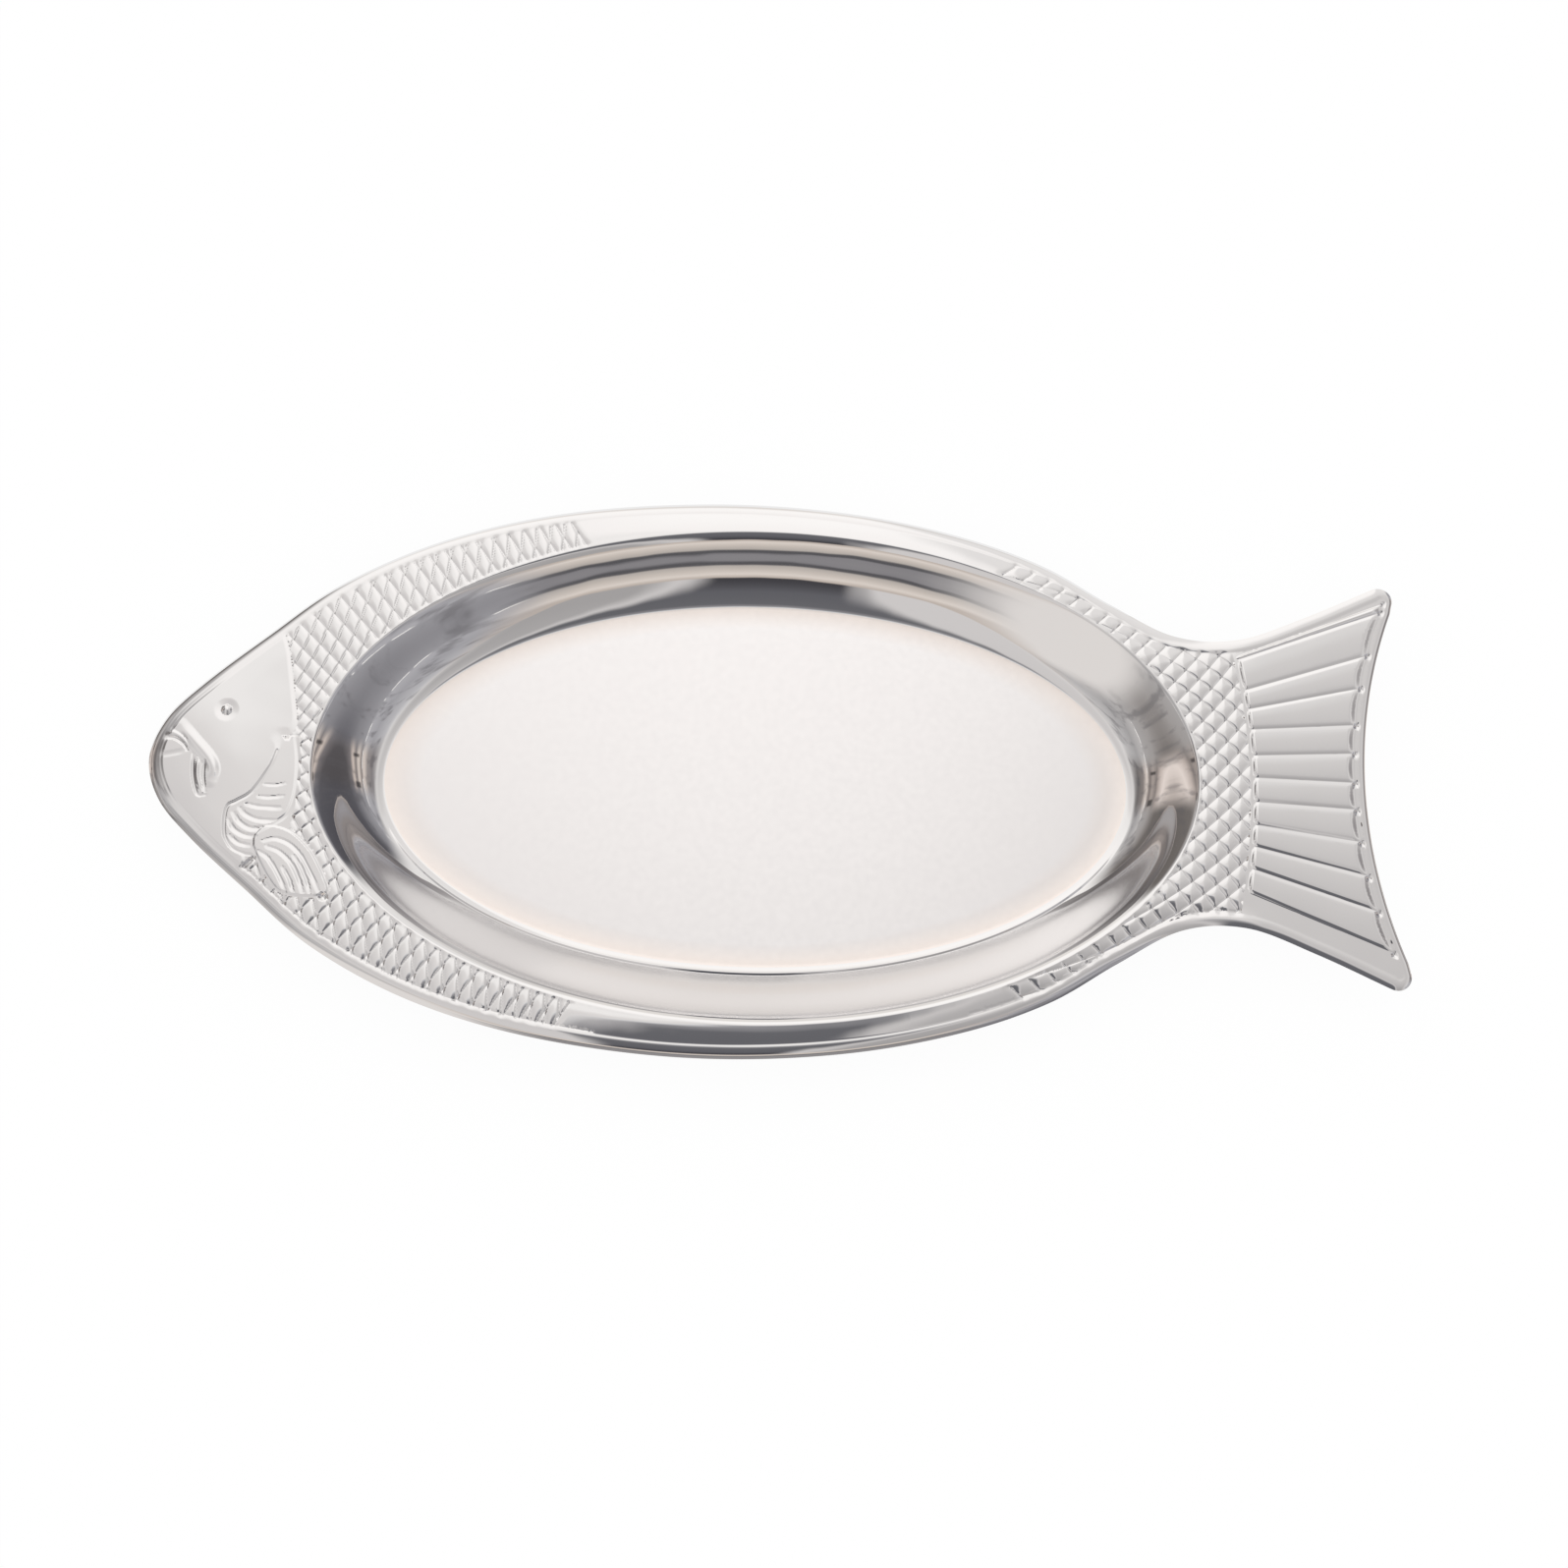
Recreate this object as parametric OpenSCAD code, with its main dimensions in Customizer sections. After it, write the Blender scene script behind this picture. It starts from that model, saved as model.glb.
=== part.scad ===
/* [Overall] */
// Length from the nose to the tail tips
platter_len = 450; // [300:1:600]
// Width across the belly
body_w = 212; // [160:1:280]
// Height from the table to the crown of the rim
height = 20.5; // [14:0.5:34]
// Thickness of the pressed sheet
sheet_t = 0.8; // [0.5:0.1:1.2]

/* [Well] */
// Distance from the nose to the well's near end
head_room = 58; // [46:1:80]
// Distance from the well's far end to the tail tips
tail_room = 72; // [62:1:100]
// Width of the rim beside the well at the belly
rim_w = 11.7; // [9:0.1:18]
// Slope of the wall in degrees
wall_slope = 44; // [34:1:60]
// Radius between the wall and the floor
foot_r = 9; // [4:0.5:14]
// Radius between the wall and the rim
lip_r = 3; // [2:0.25:5]

/* [Border] */
// Width of the turned-down border
border_w = 4.4; // [3:0.1:4.8]
// How far the border's edge lies below the rim
border_drop = 1.8; // [0.8:0.1:3]
// Height of the bead at the border's inner line
bead_h = 0.25; // [0.1:0.05:0.5]
// Rise of the rim's crown between the well and the border
crown_h = 0.2; // [0.1:0.05:0.4]

/* [Tail] */
// Width over the tail tips
tail_w = 153; // [120:1:190]
// Radius of each tail tip
tip_r = 5; // [4.9:0.1:8]
// Radius of the hollow tail end
fork_r = 190; // [140:1:400]
// Depth of the hollow tail end behind the tips
fork_depth = 13; // [8:0.5:18]
// Half width of a groove between two tail rays
ray_groove_w = 1.1; // [0.6:0.1:2]
// Depth of a groove between two tail rays
ray_groove_d = 0.55; // [0.3:0.05:0.7]
// Length of the tail rays, from the line of the tips to their roots
ray_len = 52; // [43:0.5:60]
// How far the line of roots bends back at its ends
ray_root_bow = 5; // [2:0.5:8]
// Half width over the outer ray roots
ray_root_half = 50; // [40:0.5:56]
// Gap between the ends of the grooves and the tail's edge
ray_end_gap = 4.2; // [3.8:0.1:6]

/* [Scales] */
// Length of one scale along the rim behind the head
scale_len = 5.6; // [5:0.1:9]
// Length of one scale along the rim before the tail
tail_scale_len = 8; // [6:0.1:11]
// Length of one scale across the rim
scale_wid = 8.8; // [7:0.1:12]
// Height of a scale's middle over the rim's crown
scale_h = 0.6; // [0.3:0.05:1]
// Height of the grooves between scales over the rim's crown
scale_foot = 0.05; // [0.02:0.01:0.1]
// Distance from the lip's edge to the middle of the first row of scales
scale_first = 3.8; // [3:0.1:6]
// How far a scale may reach over the border's inner line
scale_lap = 1.2; // [0:0.1:1.6]
// Where the plain rim begins, behind the shoulder
plain_from = 72; // [60:1:90]
// Where the plain rim ends, before the tail
plain_to = 84; // [70:1:96]

/* [Head] */
// Radius of the eye
eye_r = 2.2; // [1.6:0.1:3]
// Radius of the dish around the eye
eye_dish_r = 4.2; // [3.4:0.1:6]
// Height of a raised stroke on the head
stroke_h = 0.6; // [0.3:0.05:0.9]
// Half width of a raised stroke on the head
stroke_w = 0.8; // [0.5:0.05:1.2]
// Depth of an incised line on the head
line_d = 0.5; // [0.3:0.05:0.6]
// Half width of an incised line on the head
line_w = 0.7; // [0.5:0.05:1.2]

/* [Hidden] */

// Body outline from the tail flank to the snout, as shares of the length from the nose and of the half width
flank_shares = [
    [0.927, 0.604], [0.873, 0.518], [0.822, 0.53], [0.771, 0.648], [0.718, 0.786], [0.651, 0.892],
    [0.567, 0.969], [0.473, 1], [0.38, 0.982], [0.291, 0.92], [0.211, 0.81], [0.14, 0.649],
    [0.087, 0.462], [0.04, 0.287], [0.011, 0.148]
];
// Points along the hollow tail end, as shares of the tip's height
fork_shares = [0, 0.22, 0.44, 0.66, 0.86];
// Directions of the points around a tail tip
tip_turns = [-20, 0, 28, 58, 90, 116];
// Steps from each outline point to the next
flank_steps = [2, 3, 3, 3, 2, 2, 2, 2, 2, 2, 2, 2, 2, 3, 3, 3];
// Width of the border at the hollow tail end, as a share of its width elsewhere
fork_border_share = 0.55;
// Where the rim's crown lies between the lip and the border
crown_share = 0.35;
// Where the border's bead and its bend lie within the border's width
bead_share = 0.75;
bend_share = 0.3;
bend_drop_share = 0.35;
// Places of the tail grooves, as shares of the roots' and the tip's half width
ray_root_shares = [0.93, 0.71, 0.55, 0.38, 0.19, 0.01, -0.16, -0.33, -0.5, -0.67, -0.87];
ray_end_shares = [0.92, 0.69, 0.51, 0.31, 0.155, 0, -0.145, -0.31, -0.49, -0.67, -0.9];
// Head details, as shares of the length from the nose and of the half width
eye_shares = [0.0595, 0.175];
cheek_shares = [[0.024, 0.115], [0.036, 0.06], [0.049, -0.002], [0.052, -0.04]];
mouth_shares = [[0.006, 0.06], [0.02, 0.07], [0.029, 0.044], [0.031, 0.025]];
lip_shares = [[0.006, 0.006], [0.022, 0.014], [0.031, 0.025]];
chin_shares = [
    [[0.037, 0.006], [0.039, -0.07], [0.044, -0.132]],
    [[0.044, -0.002], [0.0445, -0.07], [0.047, -0.124]]
];
gill_shares = [
    [0.104, 0.096], [0.101, 0.02], [0.09, -0.1], [0.071, -0.17], [0.0665, -0.215], [0.069, -0.28], [0.083, -0.335]
];
gill_line_shares = [[0.1, 0.44], [0.107, 0.34], [0.112, 0.23], [0.1155, 0.11]];
gill_rays_shares = [
    [[0.1, -0.055], [0.108, -0.042]], [[0.095, -0.092], [0.11, -0.07]], [[0.094, -0.127], [0.109, -0.127]],
    [[0.083, -0.157], [0.11, -0.166]], [[0.078, -0.183], [0.108, -0.205]], [[0.073, -0.2], [0.094, -0.242]],
    [[0.07, -0.24], [0.087, -0.28]]
];
fin_shares = [
    [0.0935, -0.26], [0.106, -0.242], [0.12, -0.264], [0.134, -0.305], [0.145, -0.36], [0.151, -0.42],
    [0.151, -0.468], [0.132, -0.478], [0.115, -0.47], [0.105, -0.425], [0.0955, -0.352], [0.0905, -0.3]
];
fin_rays_shares = [
    [[0.099, -0.292], [0.112, -0.283], [0.129, -0.35], [0.144, -0.45]],
    [[0.099, -0.315], [0.115, -0.335], [0.127, -0.385], [0.136, -0.462]],
    [[0.098, -0.332], [0.112, -0.37], [0.122, -0.425], [0.125, -0.466]],
    [[0.097, -0.345], [0.107, -0.405], [0.115, -0.455]]
];
// Left edge of the scales beside the head, as shares of the half width and of the length
scale_start_shares = [
    [-1, 0.06], [-0.5, 0.065], [-0.49, 0.156], [-0.4, 0.15], [-0.24, 0.126], [-0.05, 0.116], [0.1, 0.114],
    [0.42, 0.098], [1, 0.09]
];

// How far a scale's free corner stops short, as a share of its half length
free_corner_share = 0.12;
// How deep the foot of a raised detail lies in the sheet, and how it widens downwards
root_share = 0.75;
stroke_foot_share = 1.5;
stroke_top_share = 0.35;

half_len = platter_len / 2;
half_w = body_w / 2;
well_len = platter_len - head_room - tail_room;
well_w = body_w - 2 * rim_w;
well_shift = (tail_room - head_room) / 2;
ray_root_x = half_len - ray_len;
rim_z = height - crown_h;
depth = rim_z - sheet_t;
radii = lip_r + foot_r;
wall_run = radii * sin(wall_slope) + (depth - radii * (1 - cos(wall_slope))) / tan(wall_slope);
tip_y = tail_w / 2 - tip_r;
root_z = rim_z - sheet_t * root_share;

function mix(a, b, share) = a + (b - a) * share;
function plan(share) = [share[0] * platter_len - half_len, share[1] * half_w];
function unit(v) = v / norm(v);

// Smooth curve through a list of points
function bend(a, b, c, d, t) =
    (2 * b + (c - a) * t + (2 * a - 5 * b + 4 * c - d) * t * t + (3 * b - a - 3 * c + d) * t * t * t) / 2;
function smooth(list, steps) = [
    for (i = [1 : len(list) - 3]) for (k = [1 : steps[i - 1]])
        bend(list[i - 1], list[i], list[i + 1], list[i + 2], k / steps[i - 1])
];

// Upper half of the outline, from the tail's middle over the back to the nose
fork_points = [
    for (s = fork_shares) [half_len - fork_depth + fork_r - sqrt(fork_r * fork_r - pow(s * tip_y, 2)), s * tip_y]
];
tip_points = [for (a = tip_turns) [half_len - tip_r + tip_r * cos(a), tip_y + tip_r * sin(a)]];
flank = [for (s = flank_shares) plan(s)];
flank_start = tip_points[len(tip_points) - 1];
snout = flank[len(flank) - 1];
flank_guides = concat(
    [2 * flank_start - flank[0], flank_start], flank, [[-half_len, 0], [snout[0], -snout[1]]]
);
half_outline = concat(fork_points, tip_points, smooth(flank_guides, flank_steps));
half_count = len(half_outline) - 1;
outline = concat(
    half_outline,
    [for (i = [half_count - 1 : -1 : 1]) [half_outline[i][0], -half_outline[i][1]]]
);
count = len(outline);

// Half width of the outline at a place along the length
half_table = [for (i = [half_count : -1 : len(fork_points) + len(tip_points) - 1]) half_outline[i]];
function half_at(x) = lookup(x, half_table);

// Outline moved inwards by a distance
function inward(i) =
    let (p = outline[(i + count - 1) % count], q = outline[(i + 1) % count], d = unit(q - p)) [-d[1], d[0]];
function border_share(i) =
    let (past_fork = min(i, count - i) - len(fork_points) + 1)
        mix(fork_border_share, 1, min(1, max(0, past_fork / len(tip_points))));
function border_ring(inset, z) = [
    for (i = [0 : count - 1]) let (p = outline[i] + inset * border_share(i) * inward(i)) [p[0], p[1], z]
];

// Turn of the well's oval that faces each outline point
wrist_index = len(fork_points) + len(tip_points) + flank_steps[0] + flank_steps[1] - 1;
function facing(p) = atan2(p[1] * well_len, (p[0] + well_shift) * well_w);
wrist_turn = facing(half_outline[wrist_index]);
half_turns = [
    for (i = [0 : half_count]) i < wrist_index ? wrist_turn * i / wrist_index : facing(half_outline[i])
];
turns = concat(half_turns, [for (i = [half_count - 1 : -1 : 1]) -half_turns[i]]);
function oval(turn, inset) = [
    (well_len / 2 - inset) * cos(turn) - well_shift, (well_w / 2 - inset) * sin(turn)
];
function oval_ring(inset, z) = [for (turn = turns) let (p = oval(turn, inset)) [p[0], p[1], z]];

// Rings of one face of the sheet from the floor to the free edge
function face_rings(below) =
    let (
        lip = lip_r - below,
        foot = foot_r + below,
        crease = border_ring(border_w, rim_z - bead_h - below),
        edge = oval_ring(0, rim_z - below)
    ) concat(
        [for (a = [0, wall_slope / 2, wall_slope])
            oval_ring(wall_run - foot * sin(a), sheet_t + foot_r - foot * cos(a))],
        [for (a = [wall_slope, wall_slope / 2])
            oval_ring(lip * sin(a), rim_z - lip_r + lip * cos(a))],
        [edge],
        [[for (i = [0 : count - 1]) mix(edge[i], crease[i], crown_share)
            + [0, 0, crown_h + bead_h * crown_share]]],
        [crease],
        [border_ring(border_w * bead_share, rim_z - below)],
        [border_ring(border_w * bend_share, rim_z - border_drop * bend_drop_share - below)],
        [border_ring(0, rim_z - border_drop - below)]
    );

// One smooth pressed sheet, before its relief
module blank() {
    top = face_rings(0);
    under = face_rings(sheet_t);
    rows = len(top);
    lower = rows * count;
    mid = 2 * lower;
    points = concat(
        [for (ring = top) each ring],
        [for (ring = under) each ring],
        [[-well_shift, 0, sheet_t], [-well_shift, 0, 0]]
    );
    strips = [
        for (r = [0 : rows - 2]) for (i = [0 : count - 1])
            let (a = r * count + i, b = r * count + (i + 1) % count, c = b + count, d = a + count)
                each [[a, b, c], [a, c, d], [lower + a, lower + c, lower + b], [lower + a, lower + d, lower + c]]
    ];
    last = (rows - 1) * count;
    rest = [
        for (i = [0 : count - 1])
            let (k = (i + 1) % count)
                each [
                    [mid, k, i],
                    [mid + 1, lower + i, lower + k],
                    [last + i, last + k, lower + last + k],
                    [last + i, lower + last + k, lower + last + i]
                ]
    ];
    polyhedron(points, concat(strips, rest), convexity = 10);
}

// Scales: staggered rows that follow the well, on a lattice of half steps along and across the rim
scale_step = scale_wid / 2;
function oval_speed(turn) = norm([well_len / 2 * sin(turn), well_w / 2 * cos(turn)]) * PI / 180;
function scale_pitch(turn) = turn < 90 ? tail_scale_len : scale_len;
function walk(turn, stop) =
    turn >= stop ? [] : concat([turn], walk(turn + scale_pitch(turn) / oval_speed(turn) / 2, stop));
column_turns = walk(0, 180);
function lattice(side, c, r) =
    oval(side * (c < 0 ? -column_turns[-c] : column_turns[c]), -scale_first - r * scale_step);
function clear_of_border(p) = min([
    for (along = [-1, 0, 1]) half_at(p[0] + along * scale_len / 2) - abs(p[1])
]) > border_w + scale_wid / 2 - scale_lap;
function is_scale(p) =
    clear_of_border(p)
    && (p[0] < -plain_from || p[0] > plain_to)
    && p[0] > lookup(p[1] / half_w, scale_start_shares) * platter_len - half_len + scale_len / 2
    && p[0] < ray_root_x - ray_root_bow * pow(p[1] / ray_root_half, 2) - scale_len / 2;
most_rows = ceil(half_w / scale_step);
function has_scale(side, c, r) = r >= 0 && is_scale(lattice(side, c, r));
scale_places = [
    for (side = [1, -1]) for (c = [0 : len(column_turns) - 2]) for (r = [0 : most_rows])
        if ((c + r) % 2 == 0 && has_scale(side, c, r) && (c > 0 || side > 0)) [side, c, r]
];
// Corner of a scale, which stops short of the lattice where no scale lies beside it
function scale_corner(side, c, r, along, across) =
    let (
        beside = [for (turn = [-1, 1]) [along == 0 ? turn : along, across == 0 ? turn : across]],
        free = len([for (b = beside) if (has_scale(side, c + b[0], r + b[1])) b]) == 0
    ) mix(lattice(side, c + along, r + across), lattice(side, c, r), free ? free_corner_share : 0);

// One diamond scale with its grooves along the four sides
module one_scale(side, c, r) {
    ring = [for (d = [[0, 1], [side, 0], [0, -1], [-side, 0]]) scale_corner(side, c, r, d[0], d[1])];
    middle = lattice(side, c, r);
    points = concat(
        [[middle[0], middle[1], height + scale_h]],
        [for (p = ring) [p[0], p[1], height + scale_foot]],
        [for (p = ring) [p[0], p[1], root_z]]
    );
    tops = [for (k = [0 : 3]) let (n = (k + 1) % 4) [0, n + 1, k + 1]];
    sides = [for (k = [0 : 3]) let (n = (k + 1) % 4) [k + 1, n + 1, n + 5, k + 5]];
    polyhedron(points, concat(tops, sides, [[5, 6, 7, 8]]));
}

module scales() {
    for (s = scale_places) one_scale(s[0], s[1], s[2]);
}

// A raised stroke or an incised line through a list of places
module strokes(list) {
    for (i = [0 : len(list) - 2])
        hull() for (k = [i, i + 1])
            translate([list[k][0], list[k][1], root_z])
                cylinder(
                    h = rim_z + stroke_h - root_z,
                    r1 = stroke_w * stroke_foot_share,
                    r2 = stroke_w * stroke_top_share,
                    $fn = 6
                );
}
module lines(list, half, deep) {
    for (i = [0 : len(list) - 2])
        hull() for (k = [i, i + 1])
            translate([list[k][0], list[k][1], rim_z - deep])
                cylinder(h = 2 * deep, r1 = half / 4, r2 = 2 * half, $fn = 6);
}

module raised() {
    scales();
    strokes([for (s = cheek_shares) plan(s)]);
    for (list = chin_shares) strokes([for (s = list) plan(s)]);
    for (list = gill_rays_shares) strokes([for (s = list) plan(s)]);
    for (list = fin_rays_shares) strokes([for (s = list) plan(s)]);
    translate([plan(eye_shares)[0], plan(eye_shares)[1], rim_z - eye_r / 2]) sphere(r = eye_r, $fn = 16);
}

module sunken() {
    for (k = [0 : len(ray_root_shares) - 1])
        let (
            root_y = ray_root_shares[k] * ray_root_half,
            end_y = ray_end_shares[k] * tip_y,
            root_x = ray_root_x - ray_root_bow * pow(root_y / ray_root_half, 2),
            end_x = half_len - fork_depth + fork_r - sqrt(fork_r * fork_r - end_y * end_y) - ray_end_gap
        ) lines([[root_x, root_y], [end_x, end_y]], ray_groove_w, ray_groove_d);
    lines([for (s = mouth_shares) plan(s)], line_w, line_d);
    lines([for (s = lip_shares) plan(s)], line_w, line_d);
    lines([for (s = gill_shares) plan(s)], line_w, line_d);
    lines([for (s = gill_line_shares) plan(s)], line_w, line_d);
    lines([for (s = concat(fin_shares, [fin_shares[0]])) plan(s)], line_w, line_d);
}

// Dish around the eye
module eye_dish() {
    lift = eye_dish_r * eye_dish_r / line_d;
    translate([plan(eye_shares)[0], plan(eye_shares)[1], rim_z - line_d + lift / 2])
        sphere(r = lift / 2, $fn = 48);
}

module platter() {
    color("#c9cacb") union() {
        difference() {
            union() {
                blank();
                translate([0, 0, -sheet_t]) sunken();
            }
            sunken();
            eye_dish();
        }
        raised();
    }
}

platter();
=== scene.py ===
import math
from functools import partial

import bpy
import numpy as np
from mathutils import Matrix, Vector
from mathutils.geometry import delaunay_2d_cdt
from mathutils.kdtree import KDTree


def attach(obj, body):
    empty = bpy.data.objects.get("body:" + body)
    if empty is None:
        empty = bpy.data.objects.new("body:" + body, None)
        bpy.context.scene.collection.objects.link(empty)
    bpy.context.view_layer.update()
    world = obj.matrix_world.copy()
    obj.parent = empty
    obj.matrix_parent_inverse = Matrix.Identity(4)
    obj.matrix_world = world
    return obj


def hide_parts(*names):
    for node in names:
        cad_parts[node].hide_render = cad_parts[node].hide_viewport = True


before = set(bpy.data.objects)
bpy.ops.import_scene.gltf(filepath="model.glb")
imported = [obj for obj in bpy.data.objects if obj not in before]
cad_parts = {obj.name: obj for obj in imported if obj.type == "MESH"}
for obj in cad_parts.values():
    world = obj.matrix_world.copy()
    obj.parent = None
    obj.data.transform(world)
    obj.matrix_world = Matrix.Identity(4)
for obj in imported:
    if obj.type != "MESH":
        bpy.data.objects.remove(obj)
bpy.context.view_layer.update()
print("stage: frame loaded")

# Lengths are in millimetres until a mesh or a node takes metres
mm = 0.001
perMetre = 1000

# The photograph's camera, with angles in degrees
photoView = dict(
    turn=1.39, height=70.0, distance=1028.5, focalPixels=2916.7, centreX=787.7, centreY=784.3, pixels=1596,
    sensorWidth=36, clipStart=0.01,
)


def addCamera(v):
    turn, lift = math.radians(v["turn"]), math.radians(v["height"])
    back = Vector((math.sin(turn) * math.cos(lift), -math.cos(turn) * math.cos(lift), math.sin(lift)))
    right = Vector((math.cos(turn), math.sin(turn), 0))
    facing = Matrix((right, back.cross(right), back)).transposed().to_4x4()
    place = back * v["distance"] + Vector((0, 0, sheet["rimTop"]))
    deselectAll()
    bpy.ops.object.camera_add()
    camera = bpy.context.object
    camera.name = "photoCamera"
    camera.matrix_world = Matrix.Translation(place * mm) @ facing
    camera.data.sensor_width = v["sensorWidth"]
    camera.data.lens = v["sensorWidth"] * v["focalPixels"] / v["pixels"]
    camera.data.shift_x = (v["pixels"] / 2 - v["centreX"]) / v["pixels"]
    camera.data.shift_y = (v["centreY"] - v["pixels"] / 2) / v["pixels"]
    camera.data.clip_start = v["clipStart"]
    bpy.context.scene.camera = camera


# The pressed sheet
sheet = dict(
    thick=0.8, rimTop=20.3, crown=0.1, crownReach=2.2, fall=1.0, fallReach=7.5, fallPower=1.6,
    # along x: where the rim stops falling in the tail, and where most of the fall ends towards the head
    tailFall=(135, 175), headFall=(30, 80), headFallShare=0.85,
    # where the relief runs out, at the lip and at the border
    lipFade=(-0.5, 1.2), borderFade=(-0.9, 0.9),
    wellX=-7.0, wellA=160.0, wellB=94.3, wallRun=25.5, floorBand=4.0, floorStep=2.0, floorTilt=1.5,
    floorLead=2.0, lipDip=(0.55, 0.2), lipPoints=840, edgeStep=0.95, fineSteps=400, fineTurns=8000,
    wallSteps=8, borderSteps=2, flankSteps=24,
    # the wall from lip to floor: share of its run, and lean in degrees
    wall=[
        (0, 0), (0.04, 14), (0.12, 37), (0.2, 45), (0.35, 49), (0.5, 47), (0.65, 40), (0.8, 27), (0.93, 10),
        (1, 1.5),
    ],
    # the lean that its polish shows on the far side, at the two ends and on the near side
    farLean=[
        (0, 0), (0.04, 14), (0.11, 36), (0.15, 40), (0.22, 43.5), (0.33, 46), (0.45, 43), (0.53, 39.5),
        (0.62, 35), (0.77, 23), (0.93, 8), (1, 1.5),
    ],
    sideLean=[
        (0, 0), (0.015, 18), (0.045, 38), (0.1, 42), (0.25, 45.5), (0.38, 46), (0.5, 43.5), (0.62, 38),
        (0.75, 29), (0.88, 15), (0.97, 4), (1, 1.5),
    ],
    nearLean=[
        (0, 0), (0.02, 14), (0.07, 37), (0.18, 44), (0.35, 48), (0.6, 46), (0.76, 40), (0.82, 38), (0.84, 30),
        (0.85, -34), (0.868, -34), (0.885, 28), (0.93, 16), (0.98, 3), (1, 1.5),
    ],
    nearSide=(0.15, 0.7), endSide=(0.5, 0.9),
    # rings of the wall as shares of its run: spans with a count, the line at its near foot, the last ones
    rings=[(0, 0.12, 7), (0.17, 0.6, 9), (0.64, 0.8, 5)],
    footLine=(0.835, 0.85, 0.868, 0.885), footDepth=0.15, footSide=(0.1, 0.5), lastRings=(0.92, 0.96, 1),
    borderWidth=4.7, tailBorder=0.55, headBorderSpan=(130, 175), tailBorderSpan=(105, 150), borderDip=0.3,
    # share of the border from its inner line to the free edge, and height over that line
    border=[(0, 0), (0.12, 0.02), (0.25, 0.0), (0.4, -0.1), (0.6, -0.42), (0.8, -1.0), (1, -1.9)],
    headBorder=[(0, 0), (0.12, -0.03), (0.25, -0.09), (0.4, -0.2), (0.6, -0.46), (0.8, -0.9), (1, -1.6)],
    tailBead=[(0, 0), (0.12, 0.06), (0.25, 0.1), (0.4, 0.09), (0.6, 0.03), (0.8, -0.12), (1, -0.4)],
    forkEdge=[(0, 0), (0.12, 0), (0.25, -0.01), (0.4, -0.03), (0.6, -0.08), (0.8, -0.18), (1, -0.4)],
    tipX=220.0, tipY=71.5, tipRadius=5.0, tipTurns=(-20, 116), tipStep=4, tipMargin=0.6,
    forkX=212.0, forkRadius=190.0, forkPoints=60, forkReach=0.93, forkMargin=1, forkLimit=0.96,
    flank=[
        (192.2, 64.0), (167.9, 54.9), (144.9, 56.2), (122.0, 68.7), (98.1, 83.3), (68.0, 94.6), (30.2, 102.7),
        (-12.2, 106.0), (-54.0, 104.1), (-94.1, 97.5), (-130.1, 85.9), (-162.0, 68.8), (-185.9, 49.0),
        (-207.0, 30.4), (-220.1, 15.7), (-225.0, 0.0),
    ],
)


# Smooth curve through points
def smoothCurve(points, steps, after=None):
    p = np.array(points, float)
    last = 2 * p[-1] - p[-2] if after is None else np.array(after, float)
    g = np.vstack([2 * p[0] - p[1], p, last])
    t = (np.arange(steps) / steps)[:, None]
    rows = []
    for a, b, c, d in zip(g[:-3], g[1:-2], g[2:-1], g[3:]):
        square = 2 * a - 5 * b + 4 * c - d
        cube = 3 * b - a - 3 * c + d
        rows.append((2 * b + (c - a) * t + square * t**2 + cube * t**3) / 2)
    return np.vstack(rows + [p[-1:]])


# Length along a curve at each of its points
def lengthAlong(curve):
    return np.concatenate([[0], np.cumsum(np.hypot(*np.diff(curve, axis=0).T))])


# Points at an even step along a curve
def evenSteps(curve, step):
    reach = lengthAlong(curve)
    count = max(2, int(round(reach[-1] / step)) + 1)
    at = np.linspace(0, reach[-1], count)
    return np.stack([np.interp(at, reach, curve[:, 0]), np.interp(at, reach, curve[:, 1])], 1)


# The tail's hollow end at a place across it
def hollowX(y):
    return sheet["forkX"] + sheet["forkRadius"] - np.sqrt(sheet["forkRadius"] ** 2 - y**2)


def halfOutline():
    s = sheet
    forkY = np.linspace(0, s["forkReach"] * s["tipY"], s["forkPoints"])
    fork = np.stack([hollowX(forkY), forkY], 1)
    turns = np.radians(np.arange(s["tipTurns"][0], s["tipTurns"][1] + 1, s["tipStep"]))
    tipX = s["tipX"] + s["tipRadius"] * np.cos(turns)
    tip = np.stack([tipX, s["tipY"] + s["tipRadius"] * np.sin(turns)], 1)
    mirrored = (s["flank"][-2][0], -s["flank"][-2][1])
    flank = smoothCurve([tip[-1]] + s["flank"], s["flankSteps"], after=mirrored)
    return evenSteps(np.vstack([fork, tip, flank[1:]]), s["edgeStep"])


# The border is narrow along the hollow end, grows round the tips and is full along the flanks
def borderShares(edge):
    s = sheet
    low, high = s["tipTurns"]
    x, y = edge[:, 0], np.abs(edge[:, 1])
    pastTip = np.clip((np.degrees(np.arctan2(y - s["tipY"], x - s["tipX"])) - low) / (high - low), 0, 1)
    onFork = (x > s["forkX"] - s["forkMargin"]) & (y < s["forkLimit"] * s["tipY"])
    atTip = np.hypot(y - s["tipY"], x - s["tipX"]) < s["tipRadius"] + s["tipMargin"]
    return np.where(onFork, 0, np.where(atTip, pastTip, 1)) * (1 - s["tailBorder"]) + s["tailBorder"]


upper = halfOutline()
outline = np.vstack([upper, (upper[1:-1] * (1, -1))[::-1]])
along = np.roll(outline, -1, 0) - np.roll(outline, 1, 0)
along /= np.linalg.norm(along, axis=1)[:, None]
inward = np.stack([-along[:, 1], along[:, 0]], 1)
borderShare = borderShares(outline)
edgeTree = KDTree(len(outline))
for i, p in enumerate(outline):
    edgeTree.insert((p[0], p[1], 0), i)
edgeTree.balance()
print("stage: outline of", len(outline), "points")


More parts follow.
